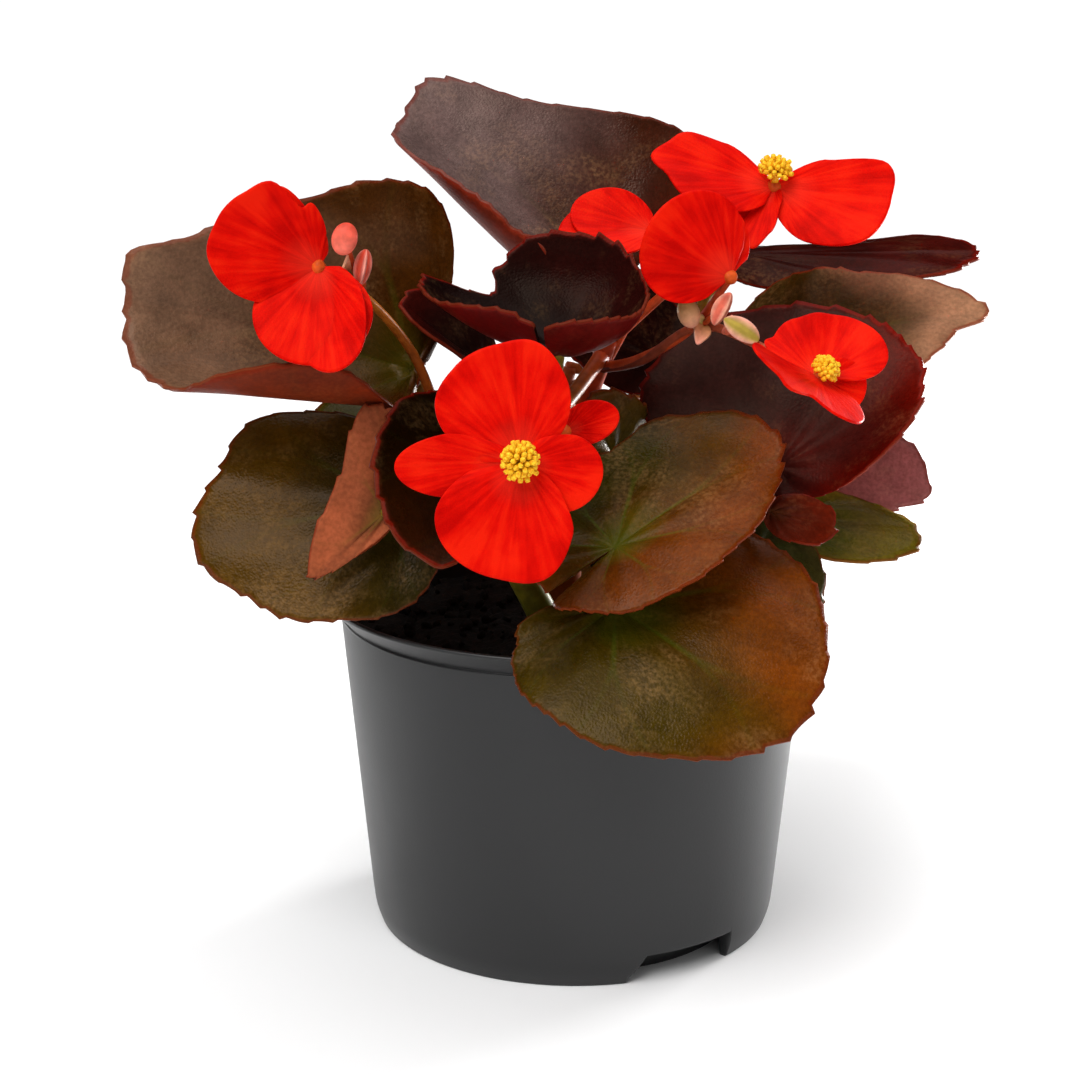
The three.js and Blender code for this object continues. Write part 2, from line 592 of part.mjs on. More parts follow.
// A petiole leaves its stem and comes up under the blade, stopping just short of it.
function petiole(leaf) {
  const base = vector(leaf.base);
  const { along, out } = frameOf(base, vector(leaf.tip), vector(leaf.face));
  const start = stemCurve(leaf.stem).getPointAt(leaf.at);
  const radius = leaf.small ? 1.1 : 1.5;
  const rise = rad(leaf.rise || 50);
  const arrive = along.clone().multiplyScalar(Math.cos(rise)).addScaledVector(out, Math.sin(rise));
  const below = LEAF_THICK / 2 + CLEARANCE + radius * Math.cos(rise) + (leaf.lower || 0);
  const end = base.clone().addScaledVector(out, -below).addScaledVector(along, 0.5);
  const reach = start.distanceTo(end);
  const before = end.clone().addScaledVector(arrive, -Math.min(14, reach * 0.4));
  const via = leaf.via ? leaf.via.map(vector) : [];
  return tube([start, ...via, before, end], [radius * 1.25, radius], 6, 5);
}

// A flower stalk from its first point, which lies in its stem, to just short of the bloom.
function flowerStalk(bloom) {
  const centre = vector(bloom.centre);
  const points = bloom.stalk.map(vector);
  const last = points[points.length - 1];
  const inward = centre.clone().sub(last).normalize();
  const end = centre.clone().addScaledVector(inward, -(HEART / 2 + CLEARANCE + (bloom.lower || 0)));
  return tube([...points, end], [1.25, 0.85], 6, 6);
}

// A bud's stalk, from its flower stalk to just short of the bud.
function budStalk({ centre, axis, size, from }) {
  const start = vector(from);
  const inward = vector(centre).sub(start).normalize();
  const along = inward.dot(vector(axis).normalize());
  const across = Math.sqrt(1 - along ** 2);
  const reach = 0.5 / Math.hypot(along / size[0], across / size[1]);
  const end = vector(centre).addScaledVector(inward, -(reach + CLEARANCE));
  return tube([start, start.clone().lerp(end, 0.5), end], [0.8, 0.6], 6, 2);
}

function stemSolid(name) {
  const { points, radii } = STEMS[name];
  const parts = [tube(points, radii, 9, 7)];
  for (const leaf of Object.values(LEAVES)) if (leaf.stem === name) parts.push(petiole(leaf));
  for (const bloom of Object.values(BLOOMS)) if (bloom.stem === name) parts.push(flowerStalk(bloom));
  for (const bud of Object.values(BUDS)) if (bud.stem === name) parts.push(budStalk(bud));
  return wasm.Manifold.union(parts);
}

// A bloom: its tepals meet in a small ball.
function bloomSolid(bloom) {
  const centre = vector(bloom.centre);
  const parts = [ball(centre, vector(bloom.axis), HEART, HEART, 6)];
  for (const tepal of bloom.tepals) parts.push(bladeSolid(tepalBlade(tepal, bloom.centre)));
  return wasm.Manifold.union(parts);
}

// Random numbers that come out the same each time.
function seeded(seed) {
  let state = seed;
  return () => {
    state = (state * 1664525 + 1013904223) % 4294967296;
    return state / 4294967296;
  };
}

// Stamens: short rods that fan out of a core, which stands just clear of the tepals.
function stamenSolid(bloom, seed) {
  const random = seeded(seed);
  const axis = vector(bloom.axis).normalize();
  const side = new THREE.Vector3(0, 0, 1).cross(axis).normalize();
  const up = axis.clone().cross(side);
  const core = vector(bloom.centre).addScaledVector(axis, HEART / 2 + CLEARANCE + bloom.stamens * 0.45);
  const parts = [ball(core, axis, bloom.stamens * 0.9, bloom.stamens * 0.9, 6)];
  const count = 12;
  for (let i = 0; i < count; i++) {
    const polar = Math.acos(1 - (i + 0.5) / count);
    const around = i * 2.4 + random() * 0.5;
    const direction = axis
      .clone()
      .multiplyScalar(Math.cos(polar))
      .addScaledVector(side, Math.sin(polar) * Math.cos(around))
      .addScaledVector(up, Math.sin(polar) * Math.sin(around));
    const end = core.clone().addScaledVector(direction, bloom.stamens * (0.85 + 0.15 * random()));
    parts.push(tube([core, core.clone().lerp(end, 0.5), end], [0.45, 0.6], 4, 1));
  }
  return wasm.Manifold.union(parts);
}

// The wall's outer radius at a height.
function potRadius(height) {
  return THREE.MathUtils.mapLinear(height, HEEL_HEIGHT, POT_HEIGHT - LIP_HEIGHT, HEEL_RADIUS, NECK_RADIUS);
}

function potSolid() {
  const lipFoot = POT_HEIGHT - LIP_HEIGHT;
  const shell = turned(
    [
      [0, FLOOR_HEIGHT],
      [INNER_RING_RADIUS - INNER_RING_WALL, FLOOR_HEIGHT],
      [INNER_RING_RADIUS - INNER_RING_WALL, 0],
      [INNER_RING_RADIUS, 0],
      [INNER_RING_RADIUS, FLOOR_HEIGHT],
      [FOOT_RADIUS - 2.2, FLOOR_HEIGHT],
      [FOOT_RADIUS - 1.9, 0],
      [FOOT_RADIUS, 0],
      [HEEL_RADIUS - 0.6, HEEL_HEIGHT * 0.4],
      [HEEL_RADIUS, HEEL_HEIGHT],
      [NECK_RADIUS, lipFoot],
      [RIM_RADIUS, POT_HEIGHT - 0.6],
      [RIM_RADIUS - 0.3, POT_HEIGHT],
      [RIM_RADIUS - 1.3, POT_HEIGHT],
      [NECK_RADIUS - WALL, lipFoot - 0.4],
      [potRadius(INSIDE_CORNER) - WALL, INSIDE_CORNER],
      [FOOT_RADIUS - 1.5, FLOOR_HEIGHT + FLOOR_THICK],
      [0, FLOOR_HEIGHT + FLOOR_THICK],
    ],
    POT_SIDES,
  );
  const drains = [];
  for (let i = 0; i < DRAIN_COUNT; i++) {
    const around = (2 * Math.PI * (i + 0.5)) / DRAIN_COUNT;
    const drill = wasm.Manifold.cylinder(6, DRAIN_RADIUS, DRAIN_RADIUS, 12);
    const place = [DRAIN_CIRCLE * Math.cos(around), DRAIN_CIRCLE * Math.sin(around), FLOOR_HEIGHT - 2];
    drains.push(drill.translate(place));
  }
  return shell.subtract(wasm.Manifold.union([...drains, ...NOTCH_AZIMUTHS.map(notchCutter)]));
}

// A notch is wider at the foot than at its top. Its cutter is drawn on the wall's outside and pushed
// inwards.
function notchCutter(azimuth) {
  const half = NOTCH_WIDTH / 2;
  const outline = [
    [-half - 2, -1],
    [half + 0.5, -1],
    [half, NOTCH_HEIGHT],
    [-half + 3, NOTCH_HEIGHT],
  ];
  const depth = FOOT_RADIUS + 6 - (INNER_RING_RADIUS + 0.8);
  const slab = new wasm.CrossSection([outline]).extrude(depth).rotate([90, 0, 90]);
  return slab.translate([FOOT_RADIUS - depth + 6, 0, 0]).rotate([0, 0, azimuth]);
}

// Height of the soil's loose surface above its level, a sum of slow waves.
function soilLump(x, y) {
  return 0.8 * Math.sin(0.23 * x + 1) * Math.sin(0.19 * y) + 0.5 * Math.sin(0.5 * x - 0.43 * y + 2);
}

function soilSolid() {
  const top = POT_HEIGHT - SOIL_DEPTH;
  const clear = 0.3;
  const floor = FLOOR_HEIGHT + FLOOR_THICK + clear;
  const reach = potRadius(top - 2) - WALL - clear;
  const geometry = new THREE.LatheGeometry(
    [
      [0, floor],
      [FOOT_RADIUS - 2, floor],
      [potRadius(INSIDE_CORNER) - WALL - clear, INSIDE_CORNER + clear],
      [reach, top - 2],
      [reach - 3, top],
      [reach - 14, top],
      [reach - 26, top],
      [reach - 40, top],
      [0, top],
    ].map(([r, z]) => new THREE.Vector2(r, z)),
    26,
  );
  geometry.rotateX(Math.PI / 2);
  const position = geometry.attributes.position;
  for (let i = 0; i < position.count; i++) {
    if (position.getZ(i) < top - 0.1) continue;
    position.setZ(i, top + soilLump(position.getX(i), position.getY(i)));
  }
  const holes = Object.values(STEMS).map(({ points, radii }) => {
    const wide = [radii[0] + CLEARANCE * 1.5, radii[1] + CLEARANCE * 1.5];
    const foot = vector(points[0]);
    const rest = ball(foot, new THREE.Vector3(0, 0, 1), wide[0] * 2.2, wide[0] * 2.2, 8);
    return tube(points, wide, 9, 7).add(rest);
  });
  return solidOf(geometry).subtract(wasm.Manifold.union(holes));
}

const plant = new THREE.Group();
plant.add(meshOf(potSolid(), "pot", POT_BLACK));
plant.add(meshOf(soilSolid(), "soil", PEAT));
for (const name of Object.keys(STEMS)) plant.add(meshOf(stemSolid(name), name, STEMS[name].color));
Object.entries(LEAVES).forEach(([name, leaf], index) => {
  plant.add(meshOf(bladeSolid(leafBlade(leaf, index)), name, leaf.color));
});
Object.entries(BLOOMS).forEach(([name, bloom], index) => {
  plant.add(meshOf(bloomSolid(bloom), name, RED));
  if (bloom.stamens) {
    const stamens = name.replace("bloom", "stamens");
    plant.add(meshOf(stamenSolid(bloom, index + 1), stamens, STAMEN_YELLOW));
  }
});
for (const [name, bud] of Object.entries(BUDS)) {
  plant.add(meshOf(ball(vector(bud.centre), vector(bud.axis), ...bud.size, 8), name, BUD_PINK));
}

export default plant;
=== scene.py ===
# %% [markdown]
# # A potted wax begonia
#
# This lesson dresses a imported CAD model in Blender. The plant stands in a black nursery pot: thick,
# waxy bronze leaves, scarlet flowers with yellow stamens, and fleshy stems that rise out of dark
# peat.
#
# Every surface here is worked out with numpy, as a function of two parameters on a grid, and the
# same few measures that shape the CAD model shape the fine one, so the two lie on each other.

import math
from functools import partial

import bmesh
import bpy
import numpy as np
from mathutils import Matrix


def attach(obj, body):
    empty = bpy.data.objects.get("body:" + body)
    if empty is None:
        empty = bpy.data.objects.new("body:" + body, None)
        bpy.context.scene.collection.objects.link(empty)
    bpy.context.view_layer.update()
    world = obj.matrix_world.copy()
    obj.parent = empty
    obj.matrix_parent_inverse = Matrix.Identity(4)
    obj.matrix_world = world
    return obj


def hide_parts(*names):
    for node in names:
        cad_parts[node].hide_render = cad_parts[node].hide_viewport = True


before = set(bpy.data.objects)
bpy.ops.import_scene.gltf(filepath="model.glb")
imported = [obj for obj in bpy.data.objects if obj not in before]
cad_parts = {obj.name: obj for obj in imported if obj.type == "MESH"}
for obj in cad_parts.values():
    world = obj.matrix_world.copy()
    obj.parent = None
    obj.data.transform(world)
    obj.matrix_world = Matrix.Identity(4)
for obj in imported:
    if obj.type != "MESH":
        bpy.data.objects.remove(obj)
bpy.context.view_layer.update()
MM = 0.001

# %% [markdown]
# ## Colours and nodes
#
# A colour is written as people pick it, as an sRGB hex code, but Blender mixes light in linear
# values, so one function turns the first into the second. Another adds a shader node, sets it, and
# links what feeds it: a material is then a short list of calls that reads from the pattern down to
# the shader.


# %% Colours and nodes
def linear(code):
    """Red, green and blue as light: c / 12.92 up to 0.04045, ((c + 0.055) / 1.055) ** 2.4 above."""
    share = np.array([int(code[i : i + 2], 16) for i in (1, 3, 5)]) / 255
    return np.where(share < 0.04045, share / 12.92, ((share + 0.055) / 1.055) ** 2.4)


def rgba(code):
    return (*linear(code), 1.0)


def blend(low, high, share):
    """From one colour to another as light: low * (1 - share) + high * share."""
    return linear(low) * (1 - share) + linear(high) * share


def feed(made, inputs):
    """Sets inputs of a node, by name, or in their order from a list. A number stays on the socket,
    a hex code becomes light, and a node, or one output of a node, is linked."""
    for key, value in inputs.items() if isinstance(inputs, dict) else enumerate(inputs):
        if isinstance(value, str):
            value = rgba(value)
        if isinstance(value, bpy.types.Node):
            value = next(output for output in value.outputs if output.enabled)
        if isinstance(value, bpy.types.NodeSocket):
            made.id_data.links.new(value, made.inputs[key])
        else:
            made.inputs[key].default_value = value


def node(tree, kind, inputs=None, stops=None, **settings):
    """Adds a shader node with its settings, its inputs and, for a ramp, its (place, colour) stops.

    A MapRange takes a list of the value, the two ends of the range that it comes from and the two
    ends of the range that it goes to. A Mix takes by number 0, the share of the second colour, and
    6 and 7, the colours."""
    made = tree.nodes.new("ShaderNode" + kind)
    for name, value in settings.items():
        setattr(made, name, value)
    feed(made, inputs or {})
    if stops:
        for place, code in stops[2:]:
            made.color_ramp.elements.new(place)
        for element, (place, code) in zip(made.color_ramp.elements, sorted(stops)):
            element.position = place
            element.color = rgba(code)
    return made


def new_material(name, **shader):
    """A material, a function that adds nodes to it, and its Principled shader, set from keywords
    such as Subsurface_Weight=0.1."""
    material = bpy.data.materials.new(name)
    material.use_nodes = True
    principled = material.node_tree.nodes["Principled BSDF"]
    feed(principled, {key.replace("_", " "): value for key, value in shader.items()})
    return material, partial(node, material.node_tree), principled


# %% [markdown]
# ## From a grid of points to a mesh
#
# A leaf, a tube and a turned pot are all grids: rows of points that join to the next row. One
# function joins a grid into faces. Rows that shrink to one point, and the seam of a closed ring,
# are merged afterwards, so that each surface closes without a special case.


# %% Meshes from grids
def unit(vector):
    vector = np.array(vector, float)
    return vector / np.linalg.norm(vector)


def grid_part(points, uv=None, tint=None, under=None, veins=1.0, flip=False):
    """A grid of points, rows by columns. Each point has its place on a pattern, a tint for either
    side, and how green its veins are. flip turns the faces' outside over."""
    rows, columns = points.shape[:2]
    if uv is None:
        down, across = np.linspace(0, 1, rows)[:, None], np.linspace(0, 1, columns)
        uv = np.stack(np.broadcast_arrays(across, down), axis=-1)
    if tint is None:
        tint = np.ones((rows, columns, 3))
    corner = np.arange(rows * columns).reshape(rows, columns)
    quads = [corner[:-1, :-1], corner[:-1, 1:], corner[1:, 1:], corner[1:, :-1]]
    quads = np.stack(quads[::-1] if flip else quads, axis=-1).reshape(-1, 4)
    under = tint if under is None else under
    return dict(
        points=points.reshape(-1, 3), quads=quads, uv=uv.reshape(-1, 2), tint=tint.reshape(-1, 3),
        under=under.reshape(-1, 3), veins=np.full(rows * columns, veins),
    )


def add_object(name, data):
    """Puts a mesh, lamp or camera into the scene."""
    held = bpy.data.objects.new(name, data)
    bpy.context.collection.objects.link(held)
    return held


def build(name, parts, materials, replaces=()):
    """Joins grid parts, in millimetres, into one object under the root body, and hides the CAD parts
    that it replaces.
    """
    points, uv, tint, under, veins = (
        np.concatenate([part[key] for part in parts])
        for key in ("points", "uv", "tint", "under", "veins")
    )
    starts = np.cumsum([0] + [len(part["points"]) for part in parts])
    quads = np.concatenate([part["quads"] + start for part, start in zip(parts, starts)])
    mesh = bpy.data.meshes.new(name)
    mesh.from_pydata((points * MM).tolist(), [], quads.tolist())
    mesh.uv_layers.new(name="blade").data.foreach_set("uv", uv[quads.ravel()].ravel())
    for key, colour in (("tint", tint), ("under", under)):
        layer = mesh.color_attributes.new(key, "FLOAT_COLOR", "POINT")
        layer.data.foreach_set("color", np.column_stack([colour, veins]).ravel())
    for material in materials:
        mesh.materials.append(material)
    work = bmesh.new()
    work.from_mesh(mesh)
    bmesh.ops.remove_doubles(work, verts=work.verts, dist=SAME_PLACE)
    bmesh.ops.dissolve_degenerate(work, dist=NO_LENGTH, edges=work.edges)
    work.to_mesh(mesh)
    work.free()
    mesh.shade_smooth()
    piece = add_object(name, mesh)
    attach(piece, "root")
    if replaces:
        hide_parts(*replaces)
    return piece


def thicken(piece, thickness, back=0, rim=0):
    """Solidify gives a sheet its thickness, half to each side. back and rim say which of the
    piece's materials they take."""
    wall = piece.modifiers.new("thickness", "SOLIDIFY")
    wall.thickness = thickness * MM
    wall.offset = 0
    wall.material_offset = back
    wall.material_offset_rim = rim


def smoothstep(low, high, x):
    """0 below low, 1 above high, and 3t^2 - 2t^3 between them."""
    t = np.clip((x - low) / (high - low), 0, 1)
    return t * t * (3 - 2 * t)


def waves(points, size, seed):
    """Smooth noise, mostly from -1 to 1: sine waves in random directions, about size mm long."""
    random = np.random.default_rng(seed)
    total = np.zeros(points.shape[:-1])
    for _ in range(WAVE_COUNT):
        direction = random.normal(size=3)
        direction *= 2 * np.pi / (size * random.uniform(0.7, 1.5)) / np.linalg.norm(direction)
        total += np.sin(points @ direction + random.uniform(0, 2 * np.pi))
    return total / (WAVE_COUNT / 2)


SAME_PLACE = 2e-6  # points nearer than this, in metres, become one
NO_LENGTH = 1e-7  # and so do the ends of an edge shorter than this
WAVE_COUNT = 6

# %% [markdown]
# ## The blade of a leaf
#
# A begonia leaf is lopsided: the petiole joins it off centre, and one half is wider. Its outline
# starts as a circle seen from a point off its centre. Each half then gets its own width, and the
# flat blade is bent: folded at the midrib, curled towards the margin, bowed from base to tip and
# twisted. The same formula makes the tepals.


# %% The blade formula
def local_frame(blade):
    """A blade's base, and unit vectors along the midrib, to its left, and out of its upper side."""
    base, tip, face = (np.array(blade[key], float) for key in ("base", "tip", "face"))
    along = unit(tip - base)
    out = unit(face - np.dot(face, along) * along)
    return base, along, np.cross(out, along), out


def outline_share(knots, degrees):
    """A share of the plain outline, given at some angles, with smooth steps between them."""
    at, share = np.array(list(knots.items()), float).T
    i = np.clip(np.searchsorted(at, degrees) - 1, 0, len(at) - 2)
    t = smoothstep(at[i], at[i + 1], degrees)
    return share[i] * (1 - t) + share[i + 1] * t


def blade_sheet(blade, rings, steps, serration=0.0, teeth=0, pucker=0.0, ripple=0.0, seed=0):
    """The middle surface of a blade, on a grid of share (0 at the petiole, 1 at the margin) by
    angle from the midrib.

    The flat blade is (share * reach * cos(angle), share * reach * sin(angle)), with reach the
    distance to the margin. Across the midrib each half turns through an arc of fold + curl, and
    along it the blade bends through an arc of bow degrees. Puckers lift it between the veins, and
    fine teeth cut the margin."""
    blade = {**BLADE, **blade}
    base, along, left, out = local_frame(blade)
    bow = np.radians(blade["bow"] or 0.01)
    length = math.dist(blade["base"], blade["tip"]) * (bow / 2) / np.sin(bow / 2)
    share = np.linspace(0, 1, rings + 1)[:, None] ** RING_POWER
    side = np.linspace(-1, 1, steps + 1)[None, :]
    angle = np.radians(blade["spread"]) * side
    offset = length * (1 - blade["lobe"]) / 2
    radius = length * (1 + blade["lobe"]) / 2
    reach = offset * np.cos(angle) + np.sqrt(radius**2 - (offset * np.sin(angle)) ** 2)
    near_foot = np.clip((np.abs(side) - ROUNDED) / (1 - ROUNDED), 0, None)
    reach = reach * (1 - blade["round"] * near_foot**2)
    reach = reach * outline_share(blade["outline"], np.degrees(angle))
    scallop = -blade["scallop"] * np.cos(np.pi * blade["scallops"] * (side + 1) / 2)
    saw = ((side + 1) / 2 * teeth) % 1.0  # each tooth rises slowly and drops at once
    uneven = 0.6 + 0.4 * np.sin(side * 23 + seed) * np.sin(side * 41 + 2 * seed)
    bite = serration * uneven * (saw**1.6 - 0.4)
    reach = reach * (1 + (scallop + bite) * share**9)
    pick = lambda key: np.where(angle > 0, blade[key][0], blade[key][1])
    wide, skew, taper = pick("wide"), pick("skew"), pick("taper")
    fold, curl = np.radians(pick("fold")), np.radians(pick("curl"))
    sideways = share * reach * np.sin(angle) * wide / radius
    plain = share * reach * np.cos(angle)
    narrow = 1 - taper * smoothstep(*blade["step"], plain / length)
    forward = plain + skew * np.abs(sideways)
    across = sideways * narrow
    part = np.abs(across) / wide
    curl = np.where(np.abs(curl) < 1e-3, 1e-3, curl)
    y = np.sign(across) * wide / curl * (np.sin(fold + curl * part) - np.sin(fold))
    z = wide / curl * (np.cos(fold) - np.cos(fold + curl * part))
    z = z + blade["wave"] * share**3 * np.sin(blade["waves"] * angle + blade["phase"])
    flat = np.stack([forward + 0 * side, across + 0 * share, 0 * across], axis=-1)
    between = np.sin(np.pi * SECTORS * (side + 1) / 2) ** 2
    z = z + pucker * between * np.sin(np.pi * share**0.8) ** 0.7
    z = z + ripple * share**2 * waves(flat, RIPPLE_LENGTH, seed)
    turn = np.radians(blade["twist"]) * forward / length
    y, z = y * np.cos(turn) - z * np.sin(turn), y * np.sin(turn) + z * np.cos(turn)
    lean = bow * (0.5 - forward / length)
    x = length / bow * (np.sin(bow / 2) - np.sin(lean)) - z * np.sin(lean)
    rise = length / bow * (np.cos(lean) - np.cos(bow / 2)) + z * np.cos(lean)
    points = base + x[..., None] * along + y[..., None] * left + rise[..., None] * out
    uv = np.stack(np.broadcast_arrays((side + 1) / 2, share), axis=-1)
    return points, uv, flat / length


SECTORS = 8  # the main veins split the blade into this many
RING_POWER = 0.8  # under 1, so the rings stand closer together at the margin
ROUNDED = 0.62  # beyond this share of the spread, "round" rounds the outline off to the petiole
RIPPLE_LENGTH = 16
BLADE = dict(  # what a blade is unless its own measures say otherwise
    lobe=0.25, round=0.2, spread=166, scallop=0.0084, scallops=24, skew=(0, 0), taper=(0, 0),
    step=(0.1, 0.9), fold=(0, 0), curl=(0, 0), bow=0, twist=0, wave=1, waves=5, phase=0,
    outline={-180: 1, 180: 1},
)
LEAF_THICK = 0.8

# %% The leaves' measures
# As in the CAD model: millimetres and degrees, with the left half before the right. "at" is the
# place on the stem, and the outline gives shares of the plain one at angles from the midrib.
LEAVES = {
    "leaf_front_low": dict(
        base=(9, -54, 92.5), tip=(46, -74, 70.5), face=(0.1, -0.65, 0.75), wide=(37, 30), lobe=0.14,
        round=0.45, spread=155, skew=(-0.1, -0.4), fold=(4, 2), curl=(-12, -16), bow=18,
        stem="stem_front", at=0.7, outline={-140: 1.6, -121: 1.65, -99: 1.3, -82: 1.15, -60: 1.02},
    ),
    "leaf_front_right": dict(
        base=(9, -54, 106), tip=(43, -35, 123.5), face=(-0.15, -0.5, 0.85), wide=(29, 20),
        lobe=0.55, round=0.05, spread=173, fold=(8, 4), curl=(-8, -12), bow=10, stem="stem_front",
        at=1, rise=40,
        outline={
            -130: 0.86, -105: 0.93, -80: 1, -40: 0.96, -15: 1, 2: 1.1, 22: 1.13, 40: 1.04, 60: 0.81,
        },
    ),
    "leaf_left_low": dict(
        base=(-38, -34, 110), tip=(-84, -33, 102), face=(-0.2, -0.8, 0.56), wide=(24.5, 24),
        fold=(0, 4), curl=(-16, -8), bow=14, stem="stem_left", at=0.55,
        outline={-80: 1, -48: 1.18, -20: 1, 0: 1.05, 25: 0.96, 60: 1, 88: 1.12, 120: 1},
    ),
    "leaf_left_fold": dict(
        base=(-41, -46, 112), tip=(-58.6, -50, 98.5), face=(0.35, 0.85, 0.25), wide=(21.5, 4),
        lobe=0.35, skew=(-0.85, 0), curl=(10, 10), stem="stem_left", at=0.6, rise=5,
        via=((-28, -43, 107.3),), small=True, outline={0: 1, 32: 0.78, 62: 0.97, 85: 0.92},
    ),
    "leaf_cup": dict(
        base=(-11.5, -34, 121.5), tip=(-29.5, -67, 103.5), face=(0.2, -0.6, 0.77), wide=(13, 29.5),
        lobe=0.28, fold=(6, 10), curl=(10, 22), bow=-12, stem="stem_left", at=0.75,
        outline={-20: 1, 0: 0.96, 18: 0.78, 45: 0.77, 68: 0.97},
    ),
    "leaf_left_big": dict(
        base=(-37, -14, 137), tip=(-100, -24, 155), face=(0.12, -0.62, 0.78), wide=(41, 46),
        lobe=0.03, round=0.5, skew=(0.05, -0.28), taper=(0, 0.3), fold=(-8, 30), curl=(118, -6),
        bow=8, twist=-30, wave=1.5, stem="stem_left", at=0.97, lower=0.3,
        outline={
            -85: 0.96, -56: 1.04, -35: 0.98, -16: 1, -9: 1.1, 3: 1, 20: 0.92, 40: 1, 60: 1.1,
            100: 1,
        },
    ),
    "leaf_left_back": dict(
        base=(-35, -4, 118), tip=(-64, 4, 120), face=(-0.2, -0.3, 0.93), wide=(18, 18), lobe=0.3,
        fold=(6, 6), bow=10, stem="stem_left", at=0.85, small=True,
    ),
    "leaf_top": dict(
        base=(5, 16, 157.1), tip=(-38.8, 29, 197), face=(0.0, -0.85, 0.5), wide=(37.4, 44.4),
        lobe=0.1, skew=(0, -0.25), taper=(0, 0.5), fold=(6, 0), curl=(112, 0), bow=6,
        stem="stem_centre", at=1,
        outline={-30: 0.99, -8: 1.05, 10: 0.95, 42: 0.92, 60: 1.02, 80: 1.35, 100: 0.75, 120: 0.7},
    ),
    "leaf_cup_young": dict(
        base=(-4, -33, 145), tip=(3, -15, 168.9), face=(-0.1, -0.75, 0.65), wide=(32, 25), lobe=0.8,
        spread=177, curl=(34, 75), bow=-95, wave=0.6, stem="stem_centre", at=0.95,
        outline={24: 1, 40: 0.88, 50: 0.72, 85: 1.1, 140: 1},
    ),
    "leaf_young_dark": dict(
        base=(-22, -8, 137), tip=(-40, -16, 153), face=(0.5, -0.5, 0.7), wide=(9, 10), lobe=0.2,
        fold=(25, 25), curl=(10, 10), wave=0.5, stem="stem_centre", at=0.8, small=True,
    ),
    "leaf_inner_dark": dict(
        base=(20, 21, 133), tip=(-6, 22, 148), face=(0.1, -0.8, 0.6), wide=(13, 17), lobe=0.3,
        fold=(4, 4), bow=6, stem="stem_centre", at=0.8, small=True,
    ),
    "leaf_inner_olive": dict(
        base=(9, -14, 117), tip=(2, -26, 132), face=(0, -0.85, 0.5), wide=(12, 12), lobe=0.4,
        fold=(4, 4), bow=8, stem="stem_centre", at=0.65, small=True,
    ),
    "leaf_right_big": dict(
        base=(46, -24, 117), tip=(68, -9, 151), face=(-0.15, -0.85, 0.5), wide=(38.5, 23), lobe=0.2,
        skew=(-0.25, 0.25), fold=(0, 6), curl=(-6, 30), bow=6, wave=1.5, stem="stem_right", at=0.95,
        outline={-120: 1, -80: 1.1, -60: 1.1, -40: 0.98, -15: 0.91, 10: 0.96, 30: 1},
    ),
    "leaf_right_olive": dict(
        base=(53, 1, 139), tip=(95.5, -1, 149), face=(0, -0.62, 0.78), wide=(20, 20), lobe=0.3,
        skew=(-0.4, 0.2), fold=(6, 0), curl=(0, -10), bow=26, stem="stem_right", at=1,
        outline={
            -80: 0.9, -45: 0.76, -16: 0.8, 0: 1.02, 20: 0.97, 42: 0.87, 60: 1, 85: 1.2, 120: 1.1,
        },
    ),
    "leaf_right_back": dict(
        base=(40, 30, 157.5), tip=(98, 28, 160), face=(0, -0.5, 0.87), wide=(20, 12), fold=(-30, 0),
        bow=-6, wave=1.5, stem="stem_right", at=1, lower=0.6, outline={-60: 1, -35: 1.15, -15: 1},
    ),
    "leaf_right_maroon": dict(
        base=(50, 4, 112), tip=(84, 6, 106), face=(0.1, -0.8, 0.6), wide=(15, 12), bow=6,
        stem="stem_right", at=0.8, small=True, outline={-25: 0.95, -8: 1.06, 12: 1},
    ),
    "leaf_right_green": dict(
        base=(44, -14, 103), tip=(82, -12, 98.5), face=(0.05, -0.5, 0.86), wide=(11, 14),
        fold=(6, 6), bow=10, stem="stem_right", at=0.6, small=True,
        outline={-20: 1, 0: 0.94, 42: 0.85},
    ),
    "leaf_right_grey": dict(
        base=(40, -32, 100), tip=(54, -34, 84), face=(0.3, -0.7, 0.6), wide=(12, 10), lobe=0.3,
        fold=(4, 4), bow=8, stem="stem_right", at=0.5, small=True,
    ),
    "leaf_right_small": dict(
        base=(43, -40, 110.5), tip=(58, -40, 107), face=(0.1, -0.8, 0.5), wide=(5.5, 6), lobe=0.1,
        fold=(4, 4), bow=8, wave=0.5, stem="stem_right", at=0.7, small=True,
    ),
    "leaf_back_left": dict(
        base=(-34, 36, 116), tip=(-66, 66, 104), face=(-0.3, 0.4, 0.85), wide=(30, 30), lobe=0.3,
        fold=(6, 6), curl=(-10, -10), bow=20, stem="stem_back", at=0.85, small=True,
    ),
    "leaf_back_middle": dict(
        base=(4, 52, 104), tip=(10, 79, 86), face=(0.1, 0.6, 0.8), wide=(32, 30), lobe=0.3,
        fold=(4, 4), curl=(-14, -14), bow=20, stem="stem_back", at=0.7, small=True,
    ),
    "leaf_back_right": dict(
        base=(30, 40, 124), tip=(66, 66, 116), face=(0.3, 0.4, 0.85), wide=(28, 30), lobe=0.3,
        fold=(6, 6), curl=(-8, -8), bow=16, stem="stem_back", at=0.95, small=True,
    ),
    "leaf_back_high": dict(
        base=(12, 46, 133), tip=(18, 80, 138), face=(0.0, 0.2, 0.98), wide=(26, 26), lobe=0.3,
        fold=(8, 8), bow=10, stem="stem_back", at=1, small=True,
    ),
}
